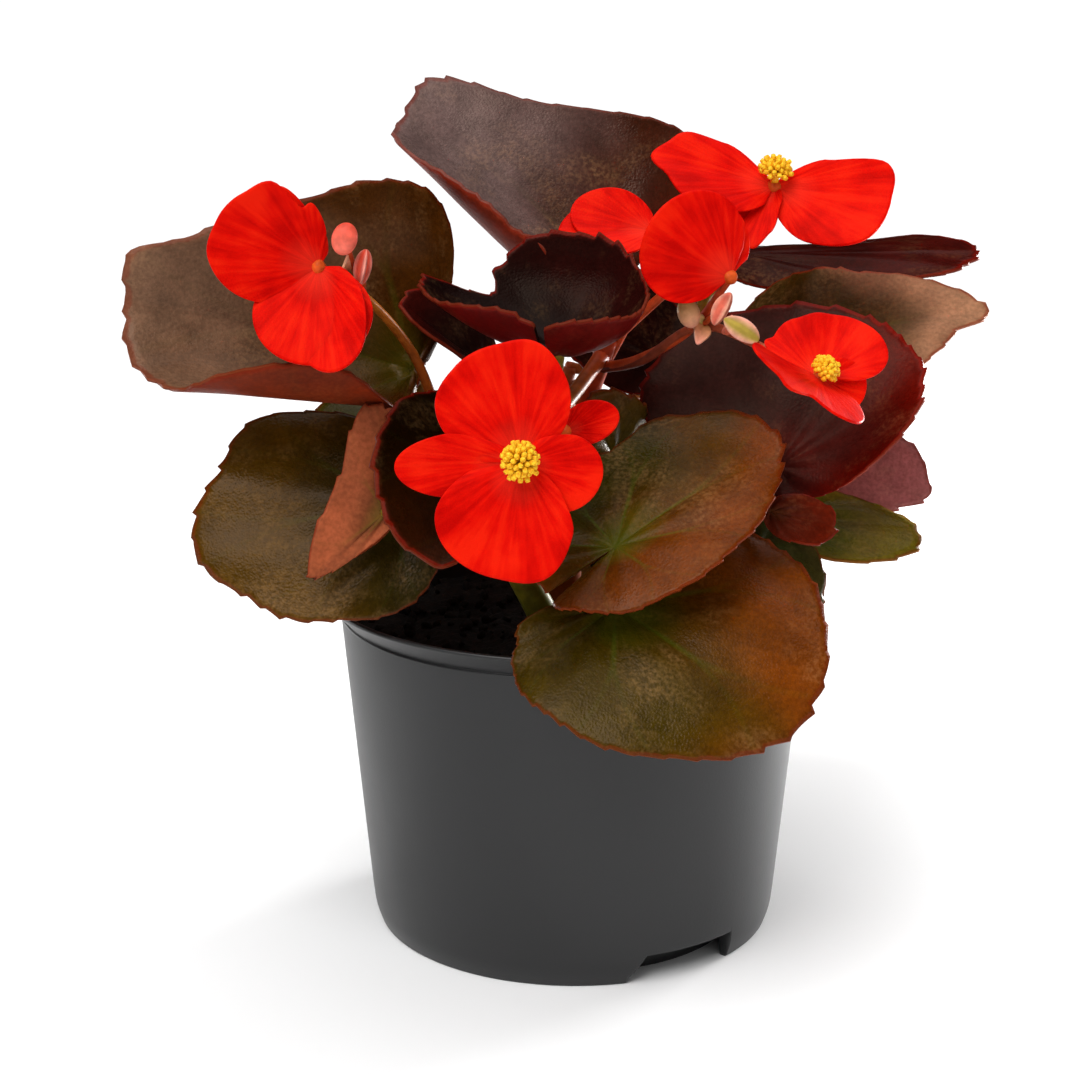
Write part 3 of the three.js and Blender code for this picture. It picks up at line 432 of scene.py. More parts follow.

# %% [markdown]
# ## The skin of a leaf
#
# Wax begonia leaves are thick, with a smooth waxy cuticle over plump cells: the gloss is broad and
# broken into tiny sparks. Bronze kinds hold red pigment over green tissue, so the same leaf goes
# from olive to orange brown, reddest near the margin, and stays green at the veins and the petiole.
# The wax has an index of about 1.45, and the bump is drawn at 0.5 mm, coarser than real cells, so
# that it shows at this distance. Pale, grainy streaks in the colour are painted sheen: they stand
# in for the broken highlights of the gloss.


# %% Leaf materials
def leaf_skin(name, attribute, vein_code, margin_code, roughness, cell, bump, gloss, wax_and_sheen=0.0):
    """A side of a leaf: its own tint, mottled, under streaks of wax and painted sheen, with veins
    that fork and a red margin."""
    material, add, shader = new_material(
        name, IOR=1.45, Specular_IOR_Level=gloss, Specular_Tint="#ffe0c8"
    )
    tint = add("Attribute", attribute_name=attribute)
    place = add("TexCoord").outputs["Object"]
    uv = add("UVMap", uv_map="blade")
    split = add("SeparateXYZ", [uv])
    share = split.outputs["Y"]
    # Mottling: patches about 7 mm wide, and flecks of 1 mm.
    patches = add(
        "TexNoise", {"Vector": place, "Scale": 1 / (7 * MM), "Detail": 4.0, "Roughness": 0.6}
    )
    shade = add("MapRange", [patches, 0.3, 0.7, 0.74, 1.22])
    grain = add("TexNoise", {"Vector": place, "Scale": 1 / (0.9 * MM), "Detail": 2.0})
    fleck = add("MapRange", [grain, 0.35, 0.65, 0.86, 1.14])
    level = add("Math", [shade, fleck], operation="MULTIPLY")
    bare = add("VectorMath", {0: tint, "Scale": level}, operation="SCALE")
    # Wax and painted sheen: milky, grainy streaks that run out from the petiole, in patches about
    # 18 mm wide. The pale colour mixed in is a painted highlight that stands in for the broken gloss.
    fan = add("Mapping", {"Vector": uv, "Scale": (22.0, 3.0, 1.0)})
    streak = add("TexNoise", {"Vector": fan, "Scale": 1.0, "Detail": 6.0, "Roughness": 0.7})
    field = add("TexNoise", {"Vector": place, "Scale": 1 / (18 * MM), "Detail": 3.0})
    pile = add("Math", [streak, field], operation="MULTIPLY")
    wax_and_sheen_patches = add("MapRange", [pile, 0.25, 0.42, 0.0, wax_and_sheen])
    sheen_grain = add("MapRange", [grain, 0.4, 0.66, 0.3, 2.4])
    wax_and_sheen_share = add("Math", [wax_and_sheen_patches, sheen_grain], operation="MULTIPLY")
    skin = add("Mix", {0: wax_and_sheen_share, 6: bare, 7: "#b88a58"}, data_type="RGBA")
    # Veins: the distance to the nearest main vein, which forks in the outer half of the blade.
    sector = add("Math", [split.outputs["X"], float(SECTORS)], operation="MULTIPLY")
    away = add("Math", [sector, 0.5], operation="PINGPONG")
    spread = add("MapRange", [share, 0.45, 1.0, 0.0, 0.24])
    fork = add("Math", [away, spread], operation="SUBTRACT")
    gap = add("Math", [fork], operation="ABSOLUTE")
    distance = add("Math", [gap, share], operation="MULTIPLY")
    vein = add("MapRange", [distance, 0.006, 0.026, 1.0, 0.0])
    outward = add("MapRange", [share, 0.1, 0.6, 0.55, 0.05])
    strength = add("Math", [vein, outward], operation="MULTIPLY")
    heart = add("MapRange", [share, 0.02, 0.34, 0.6, 0.0])
    both = add("Math", [strength, heart], operation="MAXIMUM")
    green = add("Math", [both, tint.outputs["Alpha"]], operation="MULTIPLY")
    veined = add("Mix", {0: green, 6: skin, 7: vein_code}, data_type="RGBA")
    # The margin: a red line of uneven width that fades inwards over about 2 mm.
    uneven = add("TexNoise", {"Vector": place, "Scale": 1 / (3 * MM), "Detail": 2.0})
    edge = add("Math", [uneven, 0.03, share], operation="MULTIPLY_ADD")
    line_stops = [(0.0, "#000000"), (0.965, "#000000"), (0.99, "#404040"), (1.0, "#b0b0b0")]
    line = add("ValToRGB", [edge], line_stops)
    margin = add("Mix", {0: line, 6: veined, 7: margin_code}, data_type="RGBA")
    # Gloss: cells about half a millimetre across on a slight quilting, and uneven polish.
    cells = add("TexVoronoi", {"Vector": place, "Scale": 1 / (cell * MM)}, feature="SMOOTH_F1")
    height = add("Math", [patches, 2.0, cells], operation="MULTIPLY_ADD")
    relief = add("Bump", {"Height": height, "Strength": bump, "Distance": 0.12 * MM})
    polish = add("MapRange", [streak, 0.35, 0.65, roughness - 0.08, roughness + 0.1])
    feed(shader, {"Base Color": margin, "Normal": relief, "Roughness": polish})
    return material


# The last number of each side is its painted sheen: how strongly pale, grainy wax streaks stand in
# for its gloss.
LEAF_UPPER = leaf_skin(
    "waxy bronze leaf, upper side", "tint", "#44600f", "#74200c",
    roughness=0.28, cell=0.5, bump=0.6, gloss=0.16, wax_and_sheen=0.085,
)
LEAF_DARK = leaf_skin(
    "dark young leaf, upper side", "tint", "#44600f", "#8a1408",
    roughness=0.34, cell=0.5, bump=0.5, gloss=0.07, wax_and_sheen=0.05,
)
LEAF_UNDER = leaf_skin(
    "bronze leaf, underside", "under", "#6a5a1c", "#7a1c0a",
    roughness=0.5, cell=0.7, bump=0.16, gloss=0.14, wax_and_sheen=0.02,
)
LEAF_RIM = leaf_skin(
    "leaf margin", "tint", "#5c1808", "#8e3018", roughness=0.45, cell=0.6, bump=0.3, gloss=0.1
)
print(len(bpy.data.materials), "leaf materials")

# %% [markdown]
# ## The leaves
#
# Each leaf repeats its measures from the CAD model. The pigment is uneven, so its upper side goes
# from one tint to another across the blade, and its underside has a tint of its own, which is
# nearer to the upper side's by the petiole. On a few leaves one tint is painted light instead: a
# painted reflection of the gloss, or painted shade.

# %% The leaves' colours
# Each is: first tint, second tint, where the second one lies, the underside's tint, and how green
# the veins show. The third is (along the midrib, to its left, at the petiole): with -0.35 the leaf
# has its first tint at the petiole, with 0.45 its second, and the other two say how fast it turns.
LEAF_COLOURS = {
    "leaf_front_low": ("#3a2c02", "#683004", (0.3, 0.9, -0.3), "#54200c", 0.8),
    "leaf_front_right": ("#2c2802", "#662e04", (0.1, -1.1, 0.0), "#5c2810", 1.0),
    # leaf_left_low: its near-black first tint, by the petiole, is painted shade.
    "leaf_left_low": ("#1e1a04", "#483004", (1.1, -0.3, -0.3), "#4c240e", 0.5),
    "leaf_left_fold": ("#2c1e08", "#3a2408", (0.5, 0.5, -0.35), "#944a2c", 0.9),
    "leaf_cup": ("#120700", "#2a0e02", (0.4, 0.6, -0.35), "#6a3010", 0.2),
    # leaf_left_big: its greyish first tint, towards the tip, is a painted reflection of the gloss.
    "leaf_left_big": ("#745642", "#3e1e02", (-0.9, 0.1, 0.5), "#6a2008", 0.4),
    "leaf_left_back": ("#30340a", "#3a320a", (0.5, 0.5, -0.35), "#4c240e", 0.6),
    # leaf_top: its greyish first tint, towards the tip, is a painted reflection of the broad gloss.
    "leaf_top": ("#624e4a", "#38180c", (-0.8, -0.3, 0.25), "#7a2412", 0.1),
    "leaf_cup_young": ("#120605", "#260806", (0.6, -0.6, -0.35), "#5c0606", 0.0),
    "leaf_young_dark": ("#1c0a08", "#340a06", (0.6, 0.4, -0.35), "#5a0806", 0.0),
    # leaf_inner_dark: its dark maroon is painted near black, as painted shade where it lies under
    # other leaves.
    "leaf_inner_dark": ("#1a0a08", "#280e0a", (0.5, 0.5, -0.35), "#380e0a", 0.0),
    "leaf_inner_olive": ("#443408", "#4a2a08", (0.6, 0.2, -0.35), "#4c280a", 0.3),
    "leaf_right_big": ("#321814", "#540802", (-0.1, -0.9, -0.2), "#701006", 0.0),
    # leaf_right_olive: its pinkish grey second tint, at the tip, is a painted highlight.
    "leaf_right_olive": ("#342406", "#8e6448", (1.2, 0.1, -0.7), "#54280e", 0.5),
    "leaf_right_back": ("#260402", "#3c0a06", (0.7, -0.3, -0.35), "#3a0804", 0.0),
    # leaf_right_maroon: both pinkish grey tints are painted sheen over its maroon.
    "leaf_right_maroon": ("#5c3030", "#90504e", (0.7, 0.2, 0.0), "#4a120a", 0.0),
    "leaf_right_green": ("#34500c", "#605410", (0.7, 0.2, -0.2), "#4c4a18", 0.7),
    "leaf_right_grey": ("#2a2e10", "#363010", (0.5, 0.5, -0.35), "#443610", 0.5),
    "leaf_right_small": ("#401408", "#5c1606", (0.6, 0.3, -0.35), "#54160a", 0.1),
    "leaf_back_left": ("#2e2a08", "#442a08", (0.5, 0.5, -0.35), "#541e0c", 0.5),
    "leaf_back_middle": ("#2a2a08", "#3a2e08", (0.5, -0.5, -0.35), "#4c240e", 0.5),
    "leaf_back_right": ("#2e2208", "#482608", (0.5, -0.5, -0.35), "#4c1e0c", 0.4),
    "leaf_back_high": ("#26120a", "#3c180a", (0.6, 0.4, -0.35), "#48100a", 0.2),
}
DARK_LEAVES = (
    "leaf_cup", "leaf_cup_young", "leaf_young_dark", "leaf_inner_dark", "leaf_right_big",
    "leaf_right_back", "leaf_right_olive", "leaf_right_small",
)


def leaf_part(name, leaf, index):
    """A leaf as one sheet, with the tints of its two sides."""
    small = leaf.get("small", False)
    rings, steps = (SMALL_RINGS, SMALL_STEPS) if small else (LEAF_RINGS, LEAF_STEPS)
    blade = {**leaf, "phase": index * 1.7, "scallops": 16 if small else 24}
    size = math.dist(leaf["base"], leaf["tip"])
    around = 1.1 * (sum(leaf["wide"]) + size)
    teeth = max(12, round(around / TOOTH_SPACING))
    pucker = PUCKERS.get(name, PUCKER)
    points, uv, flat = blade_sheet(
        blade, rings, steps, 2 * TOOTH_DEPTH / size, teeth, pucker, RIPPLE, index
    )
    first, second, toward, under, veins = LEAF_COLOURS[name]
    share = uv[..., 1]
    lean = flat[..., 0] * toward[0] + flat[..., 1] * toward[1] + toward[2]
    lean = lean + 0.12 * waves(points, BLOTCH, index) + 0.3 * share**3
    tint = blend(first, second, smoothstep(-0.35, 0.45, lean)[..., None])
    foot = 1 - smoothstep(0.1, 0.7, share)[..., None]
    return grid_part(points, uv, tint, blend(under, second, 0.7 * foot), veins, flip=True)


LEAF_RINGS, LEAF_STEPS = 18, 288
SMALL_RINGS, SMALL_STEPS = 12, 168
TOOTH_SPACING = 2.6  # of the fine teeth along the margin
TOOTH_DEPTH = 0.85
RIPPLE, PUCKER = 0.35, 0.5
BLOTCH = 22  # the length of the waves in the tint
PUCKERS = {"leaf_top": 1.0, "leaf_right_back": 0.8, "leaf_right_olive": 0.9}

for index, (name, leaf) in enumerate(LEAVES.items()):
    sheet = leaf_part(name, leaf, index)
    upper = LEAF_DARK if name in DARK_LEAVES else LEAF_UPPER
    piece = build(name + "_blade", [sheet], [upper, LEAF_UNDER, LEAF_RIM], [name])
    thicken(piece, LEAF_THICK, 1, 2)
print(len(LEAVES), "leaves, each with", LEAF_RINGS, "rings of", LEAF_STEPS, "steps")

# %% The measures of stems, blooms and buds, as in the CAD model
STEMS = {
    "stem_left": dict(
        points=((2, -24, 58), (-6, -25, 80), (-20, -24, 106), (-32, -18, 130)), radii=(4.2, 2.2),
    ),
    "stem_centre": dict(
        points=((-4, 2, 58), (-2, 3, 88), (0, 2, 118), (8, 0, 142)), radii=(4.8, 2.2),
    ),
    "stem_right": dict(
        points=((18, -8, 58), (24, -10, 82), (32, -13, 104), (34, -10, 122)), radii=(4.4, 2.2),
    ),
    "stem_front": dict(points=((14, -26, 58), (12, -31, 78), (8, -37, 98)), radii=(3.8, 2.6)),
    "stem_back": dict(
        points=((2, 22, 58), (0, 30, 84), (-4, 36, 110), (-2, 38, 128)), radii=(4.2, 2.2),
    ),
}

BLOOMS = {
    "bloom_front": dict(
        centre=(-11, -72, 129), axis=(0, -0.95, 0.3), stamens=4.6, stem="stem_centre",
        stalk=((0.5, 2, 122), (-7, -22, 138), (-10, -48, 135)),
    ),
    "bloom_right": dict(
        centre=(52, -50, 142.5), axis=(0.3, -0.6, 0.7), stamens=3.4, stem="stem_centre",
        stalk=((5.5, 0.5, 135), (15, -12, 139), (28, -23, 149), (40, -36, 147)),
    ),
    "bloom_top_right": dict(
        centre=(45, -6, 178), axis=(0.05, -0.3, 0.95), stamens=4.4, stem="stem_centre",
        stalk=((5, 0, 138), (20, 0, 152), (38, -4, 168)),
    ),
    "bloom_top_left": dict(
        centre=(34, -30, 161), axis=(-0.3, 0.5, 0.7), stem="stem_centre",
        stalk=((5.5, 0.5, 135), (14, -11, 139), (26, -21, 148)),
    ),
    "bloom_behind": dict(
        centre=(18, 0, 167), axis=(-0.5, -0.3, 0.6), stem="stem_centre",
        stalk=((4, 0.5, 130), (14, 0, 150)),
    ),
    "bloom_left": dict(
        centre=(-54.5, -46, 165.5), axis=(-0.3, -0.9, 0.2), stem="stem_left",
        stalk=((-30, -20, 125), (-36, -23, 142), (-46, -37, 158)),
    ),
    "bloom_small": dict(
        centre=(-2, -56, 132), axis=(0.6, -0.6, 0.5), stem="stem_centre",
        stalk=((0.5, 2, 122), (-2, -22, 132), (-4, -42, 131.5)),
    ),
}

# Each tepal is: tip, the way that its inner side looks, the widths of its halves, and where they
# are needed its bow and its outline.
TEPALS = {
    "bloom_front": [
        ((-17, -66, 154), (0.05, -0.97, 0.2), (15, 14), -10,
         {-76: 0.85, -60: 0.93, -41: 0.95, -20: 1, 0: 0.94, 20: 0.95, 41: 1, 76: 0.9}),
        ((-16, -78, 106), (0.0, -0.95, 0.3), (14, 14.5), 14,
         {-76: 0.8, -41: 1.05, 0: 1, 22: 1.06, 45: 0.98, 60: 0.8, 76: 0.6}),
        ((-37, -72, 128), (0.1, -0.95, 0.1), (6.8, 7.2), 6,
         {-76: 0.35, -60: 0.55, -38: 0.95, 0: 1, 38: 1, 60: 0.55, 76: 0.35}),
        ((6, -73, 126), (-0.1, -0.95, 0.1), (8, 9), 6,
         {-76: 0.4, -58: 0.62, -38: 0.97, 38: 1, 60: 0.85, 76: 0.7}),
    ],
    "bloom_right": [
        ((56, -38, 154.5), (0.05, -0.85, 0.55), (14.5, 13.5), -16,
         {-10: 1, 5: 0.95, 20: 0.86, 42: 0.8, 60: 1}),
        ((53, -72, 136), (0.5, 0.0, 0.86), (13, 13), 10,
         {-76: 1.6, -60: 1.85, -35: 1.1, -15: 0.7, 15: 0.8, 50: 0.68, 76: 0.65}),
        ((62, -48, 139), (-0.3, -0.8, 0.5), (6, 6)),
    ],
    "bloom_top_right": [
        ((71, -12, 176), (0.1, -0.9, 0.4), (10, 15), 8,
         {-76: 0.8, -50: 0.85, -19: 1, 0: 1, 24: 1.1, 41: 0.74, 60: 0.32, 76: 0.2}),
        ((17.5, -8, 185), (0.2, -0.75, 0.6), (11, 9), 8,
         {-76: 0.3, -60: 0.48, -44: 0.85, -32: 1.04, -15: 0.97, 0: 1.02, 14: 0.92, 40: 1}),
        ((39.5, -16, 165), (-0.2, -0.9, 0.4), (6, 6), 8, {0: 1, 20: 0.8, 41: 0.5}),
    ],
    "bloom_top_left": [
        ((17, -34, 175), (-0.1, 0.9, -0.2), (13, 13), -16),
        ((21, -20, 174), (0.1, -0.9, 0.3), (11, 11), -10),
    ],
    "bloom_behind": [
        ((-4, -2, 166.5), (0.1, -0.6, 0.8), (9, 9), 10),
        ((-1, 2, 172), (0.3, -0.8, 0.5), (8, 8)),
    ],
    "bloom_left": [
        ((-77, -52, 177), (-0.2, -0.95, 0.2), (13, 13.5), 12,
         {-76: 1.02, -60: 0.98, -47: 0.74, -36: 0.99, -19: 0.92, 0: 0.92, 20: 0.97}),
        ((-69.7, -44, 182.5), (0, -0.95, 0.1), (11.5, 10), 10,
         {-76: 0.6, -41: 0.66, -19: 0.88, 0: 0.92, 20: 0.96, 41: 0.95}),
        ((-57, -56, 146), (-0.1, -0.95, 0.3), (13.5, 12.5), 12),
        ((-49.5, -60, 145.5), (-0.3, -0.9, 0.2), (9, 8.5), -14),
    ],
    "bloom_small": [
        ((9, -60, 137), (-0.2, -0.9, 0.3), (4.5, 4.5)),
    ],
}

BUDS = {
    "bud_left_upper": dict(
        centre=(-48.5, -50, 172), axis=(0.3, 0, 1), size=(7, 5), stem="stem_left",
        start=(-46, -37, 158),
    ),
    "bud_left_lower": dict(
        centre=(-45, -47, 165.5), axis=(0.2, 0, 1), size=(8, 4.5), stem="stem_left",
        start=(-46, -37, 158),
    ),
    "bud_right_pale": dict(
        centre=(25, -29, 153), axis=(-0.3, 0, 1), size=(7, 4.5), stem="stem_centre",
        start=(26, -21, 148),
    ),
    "bud_right_upper": dict(
        centre=(32, -36, 155), axis=(0.5, 0, 1), size=(8, 4.5), stem="stem_centre",
        start=(28, -23, 149),
    ),
    "bud_right_winged": dict(
        centre=(36, -39, 151), axis=(0.8, 0, -0.5), size=(9, 5.5), stem="stem_centre",
        start=(40, -36, 147),
    ),
}

# %% [markdown]
# ## Stems, petioles and flower stalks
#
# A begonia's stems are juicy and round, swollen a little at each joint, with petioles that widen
# where they meet stem and leaf. Each is a circle carried along a smooth curve. The curve is the CAD
# model's, a spline that eases through the listed points in proportion to the square root of their
# spacing, so it never overshoots.


# %% Tubes along a curve
def spline(points, count):
    """Points at even lengths on a centripetal spline: cubic pieces whose speed follows the square
    root of the spacing."""
    given = np.array(points, float)
    ends = np.vstack([2 * given[0] - given[1], given, 2 * given[-1] - given[-2]])
    step = np.maximum(np.sqrt(np.linalg.norm(np.diff(ends, axis=0), axis=1)), 1e-4)[:, None]
    before, here, there, beyond = ends[:-3], ends[1:-2], ends[2:-1], ends[3:]
    d0, d1, d2 = step[:-2], step[1:-1], step[2:]
    leave = (here - before) / d0 - (there - before) / (d0 + d1) + (there - here) / d1
    arrive = (there - here) / d1 - (beyond - here) / (d1 + d2) + (beyond - there) / d2
    leave, arrive = leave * d1, arrive * d1
    t = np.linspace(0, 1, 40, endpoint=False)[:, None, None]
    cubic = (
        here + leave * t + (3 * (there - here) - 2 * leave - arrive) * t**2
        + (2 * (here - there) + leave + arrive) * t**3
    )
    fine = np.vstack([cubic.transpose(1, 0, 2).reshape(-1, 3), given[-1]])
    run = np.concatenate([[0], np.cumsum(np.linalg.norm(np.diff(fine, axis=0), axis=1))])
    even = np.linspace(0, run[-1], count)
    return np.stack([np.interp(even, run, fine[:, axis]) for axis in range(3)], axis=1)


def carried_circle(path, radius, sides=14):
    """Rings of points round a path, closed to a point at both ends. Each ring is the one before,
    turned as little as possible."""
    tangent = np.array([unit(way) for way in np.gradient(path, axis=0)])
    normals = [np.cross(tangent[0], NOT_ALONG)]
    for way in tangent[1:]:
        normals.append(normals[-1] - np.dot(normals[-1], way) * way)
    normal = np.array([unit(way) for way in normals])
    other = np.cross(tangent, normal)
    around = np.linspace(0, 2 * np.pi, sides + 1)
    ring = normal[:, None] * np.cos(around)[:, None] + other[:, None] * np.sin(around)[:, None]
    rings = path[:, None] + radius[:, None, None] * ring
    return np.concatenate([path[:1, None] + 0 * ring[:1], rings, path[-1:, None] + 0 * ring[:1]])


def tube_part(points, radii, low, high, sides=14, count=28, swell=0.12):
    """A tube from one radius to another, swollen at both ends, tinted from low to high."""
    path = spline(points, count)
    s = np.linspace(0, 1, count)
    radius = radii[0] + (radii[1] - radii[0]) * s
    radius = radius * (1 + swell * (np.exp(-((s / 0.08) ** 2)) + np.exp(-(((1 - s) / 0.06) ** 2))))
    grid = carried_circle(path, radius, sides)
    s = np.concatenate([[0], s, [1]])[:, None, None]
    return grid_part(grid, tint=blend(low, high, s) * np.ones(grid.shape))


NOT_ALONG = (0.31, 0.77, 0.56)  # a way that no path starts along, to be turned square to it

# %% [markdown]
# The flesh lets light in a little, so the stalks glow where they are thin. The skin is smooth,
# index about 1.42, with small blotches of darker red and green.


# %% Stem material
def fleshy_stem():
    material, add, shader = new_material(
        "fleshy begonia stem", Roughness=0.38, IOR=1.42, Specular_IOR_Level=0.12,
        Subsurface_Weight=0.12, Subsurface_Radius=(1.0, 0.35, 0.15), Subsurface_Scale=1.2 * MM,
    )
    tint = add("Attribute", attribute_name="tint")
    place = add("TexCoord").outputs["Object"]
    blotches = add("TexNoise", {"Vector": place, "Scale": 1 / (2.2 * MM), "Detail": 3.0})
    level = add("MapRange", [blotches, 0.3, 0.7, 0.75, 1.25])
    skin = add("VectorMath", {0: tint, "Scale": level}, operation="SCALE")
    cells = add("TexNoise", {"Vector": place, "Scale": 1 / (0.5 * MM)})
    relief = add("Bump", {"Height": cells, "Strength": 0.25, "Distance": 0.1 * MM})
    feed(shader, {"Base Color": skin, "Normal": relief})
    return material


STEM = fleshy_stem()
CLEARANCE = 0.35  # between a petiole and its blade, as in the CAD model
STEM_TINTS = {
    "stem_left": ("#5a7a1c", "#8a4a1c"),
    "stem_centre": ("#6a3a14", "#a23a1c"),
    "stem_right": ("#6a4018", "#8a3418"),
    "stem_front": ("#4f741a", "#6a8a24"),
    "stem_back": ("#5f5a1c", "#8a3a18"),
}
STALK_TINTS = ("#983a14", "#c84a28")
DARK_STALKS = {"bloom_left": ("#8e3a10", "#b06a20"), "bloom_right": ("#40140a", "#c05a3c")}


def petiole_points(leaf):
    """From a place on its stem, up under the blade, which it meets at an angle of rise degrees."""
    base, along, _, out = local_frame(leaf)
    rise = math.radians(leaf.get("rise", 50))
    radius = 1.1 if leaf.get("small") else 1.5
    start = spline(STEMS[leaf["stem"]]["points"], 201)[round(leaf["at"] * 200)]
    arrive = along * math.cos(rise) + out * math.sin(rise)
    below = LEAF_THICK / 2 + CLEARANCE + radius * math.cos(rise) + leaf.get("lower", 0)
    end = base - out * below + along * 0.5
    before = end - arrive * min(14, np.linalg.norm(end - start) * 0.4)
    return [start, *leaf.get("via", ()), before, end, base + along * 0.4 - out * 0.3], radius


for name, stem in STEMS.items():
    low, high = STEM_TINTS[name]
    parts = [tube_part(stem["points"], stem["radii"], low, high, sides=20, count=40, swell=0.05)]
    for leaf in LEAVES.values():
        if leaf["stem"] == name:
            points, radius = petiole_points(leaf)
            parts.append(tube_part(points, (radius * 1.25, radius * 0.95), high, "#7a6a20"))
    for key, bloom in BLOOMS.items():
        if bloom["stem"] == name:
            tints = DARK_STALKS.get(key, STALK_TINTS)
            parts.append(tube_part([*bloom["stalk"], bloom["centre"]], (1.25, 0.85), *tints))
    for bud in BUDS.values():
        if bud["stem"] == name:
            path = [bud["start"], bud["centre"]]
            parts.append(tube_part(path, (0.8, 0.6), *STALK_TINTS, sides=10, count=12))
    build(name + "_flesh", parts, [STEM], [name])
    print(name, "carries", len(parts) - 1, "petioles and stalks")

# %% [markdown]
# ## Flowers
#
# Male begonia flowers have four tepals, two broad and two narrow, round a tuft of yellow stamens. A
# tepal is the blade formula with a smooth outline. Its skin is built of domed cells that give the
# scarlet a satin glow, so the shader is rough, lets a little light into the flesh and has a bump of
# such cells, and fine streaks fan from the tepal's foot.


# %% Tepal material
def satin_tepal():
    material, add, shader = new_material(
        "satin scarlet tepal", Roughness=0.55, IOR=1.35, Specular_IOR_Level=0.22,
        Specular_Tint="#ff9a78", Subsurface_Weight=0.15, Subsurface_Radius=(1.0, 0.12, 0.05),
        Subsurface_Scale=1.0 * MM,
    )
    place = add("TexCoord").outputs["Object"]
    uv = add("UVMap", uv_map="blade")
    split = add("SeparateXYZ", [uv])
    fan = add("Mapping", {"Vector": uv, "Scale": (26.0, 1.6, 1.0)})
    streak = add("TexNoise", {"Vector": fan, "Scale": 1.0, "Detail": 3.0})
    cloud = add("TexNoise", {"Vector": place, "Scale": 1 / (9 * MM), "Detail": 2.0})
    both = add("Math", [streak, cloud], operation="ADD")
    half = add("Math", [both, 0.5], operation="MULTIPLY")
    red_stops = [(0.38, "#b80000"), (0.5, "#d20802"), (0.62, "#e01a06")]
    red = add("ValToRGB", [half], red_stops)
    foot = add("MapRange", [split.outputs["Y"], 0.0, 0.4, 0.45, 0.0])
    petal = add("Mix", {0: foot, 6: red, 7: "#e8402c"}, data_type="RGBA")
    cells = add("TexVoronoi", {"Vector": place, "Scale": 1 / (0.45 * MM)}, feature="SMOOTH_F1")
    height = add("Math", [streak, 2.2, cells], operation="MULTIPLY_ADD")
    relief = add("Bump", {"Height": height, "Strength": 0.4, "Distance": 0.15 * MM})
    feed(shader, {"Base Color": petal, "Normal": relief})
    return material


TEPAL = satin_tepal()
TEPAL_THICK = 0.5
TEPAL_RINGS, TEPAL_STEPS = 26, 64
TEPAL_RIPPLE = 0.5
HEART = 3.2  # across the ball in which a bloom's tepals meet


def lumpy_ball(centre, axis, length, thickness, grooves=0, depth=0.0, sides=40, rings=24):
    """An egg on an axis: its radius is sin(t), cut by grooves with depth * cos(grooves * angle)."""
    axis = unit(axis)
    side = unit(np.cross(axis, (0.3, 0.8, 0.1)))
    up = np.cross(axis, side)
    t = np.linspace(0, np.pi, rings)[:, None]
    around = np.linspace(0, 2 * np.pi, sides + 1)[None, :]
    radius = thickness / 2 * np.sin(t) * (1 + depth * np.cos(grooves * around))
    return (
        np.array(centre, float)
        + (length / 2 * np.cos(t) + 0 * around)[..., None] * axis
        + (radius * np.cos(around))[..., None] * side
        + (radius * np.sin(around))[..., None] * up
    )


def tepal_part(tepal, centre, index):
    """A tepal: the blade formula with a smooth outline, a little ruffled."""
    blade = dict(
        base=centre, spread=76, round=0.1, scallop=0, lobe=0.02, fold=(3, 3), curl=(8, 8), wave=0.5,
        waves=3, phase=centre[0],
    )
    blade.update(zip(("tip", "face", "wide", "bow", "outline"), tepal))
    points, uv, _ = blade_sheet(blade, TEPAL_RINGS, TEPAL_STEPS, ripple=TEPAL_RIPPLE, seed=index)
    return grid_part(points, uv, flip=True)


for name, bloom in BLOOMS.items():
    centre = bloom["centre"]
    parts = [tepal_part(tepal, centre, 7 * i + 3) for i, tepal in enumerate(TEPALS[name])]
    thicken(build(name + "_tepals", parts, [TEPAL], [name]), TEPAL_THICK)
    ball = lumpy_ball(centre, bloom["axis"], HEART, HEART, 4, 0.06)
    heart = grid_part(ball, tint=linear("#c8501c") * np.ones(ball.shape), flip=True)
    build(name + "_heart", [heart], [STEM])
    print(name, "has", len(parts), "tepals")

# %% [markdown]
# ## Stamens
#
# Each open flower holds a dome of stamens: short threads that end in a club of yellow pollen. The
# clubs are set out like seeds in a sunflower, each turned 137.5 degrees from the last, which fills
# a dome evenly. They are matt and granular, so the material is rough with a coarse bump.


# %% Stamens
def pollen():
    material, add, shader = new_material("pollen-covered anthers", Roughness=0.7, IOR=1.4)
    place = add("TexCoord").outputs["Object"]
    grain = add("TexNoise", {"Vector": place, "Scale": 1 / (0.5 * MM), "Detail": 2.0})
    gold_stops = [(0.3, "#d98a06"), (0.5, "#f4bc0a"), (0.7, "#fbd93a")]
    gold = add("ValToRGB", [grain], gold_stops)
    relief = add("Bump", {"Height": grain, "Strength": 0.7, "Distance": 0.15 * MM})
    feed(shader, {"Base Color": gold, "Normal": relief})
    return material


POLLEN = pollen()
STAMEN_COUNT = 46
GOLDEN_ANGLE = math.radians(137.5)
DOME = 0.92  # 1 would spread the clubs over a half ball
THREAD, CLUB = 0.2, 0.62  # the radius of a thread, and of the club at its end


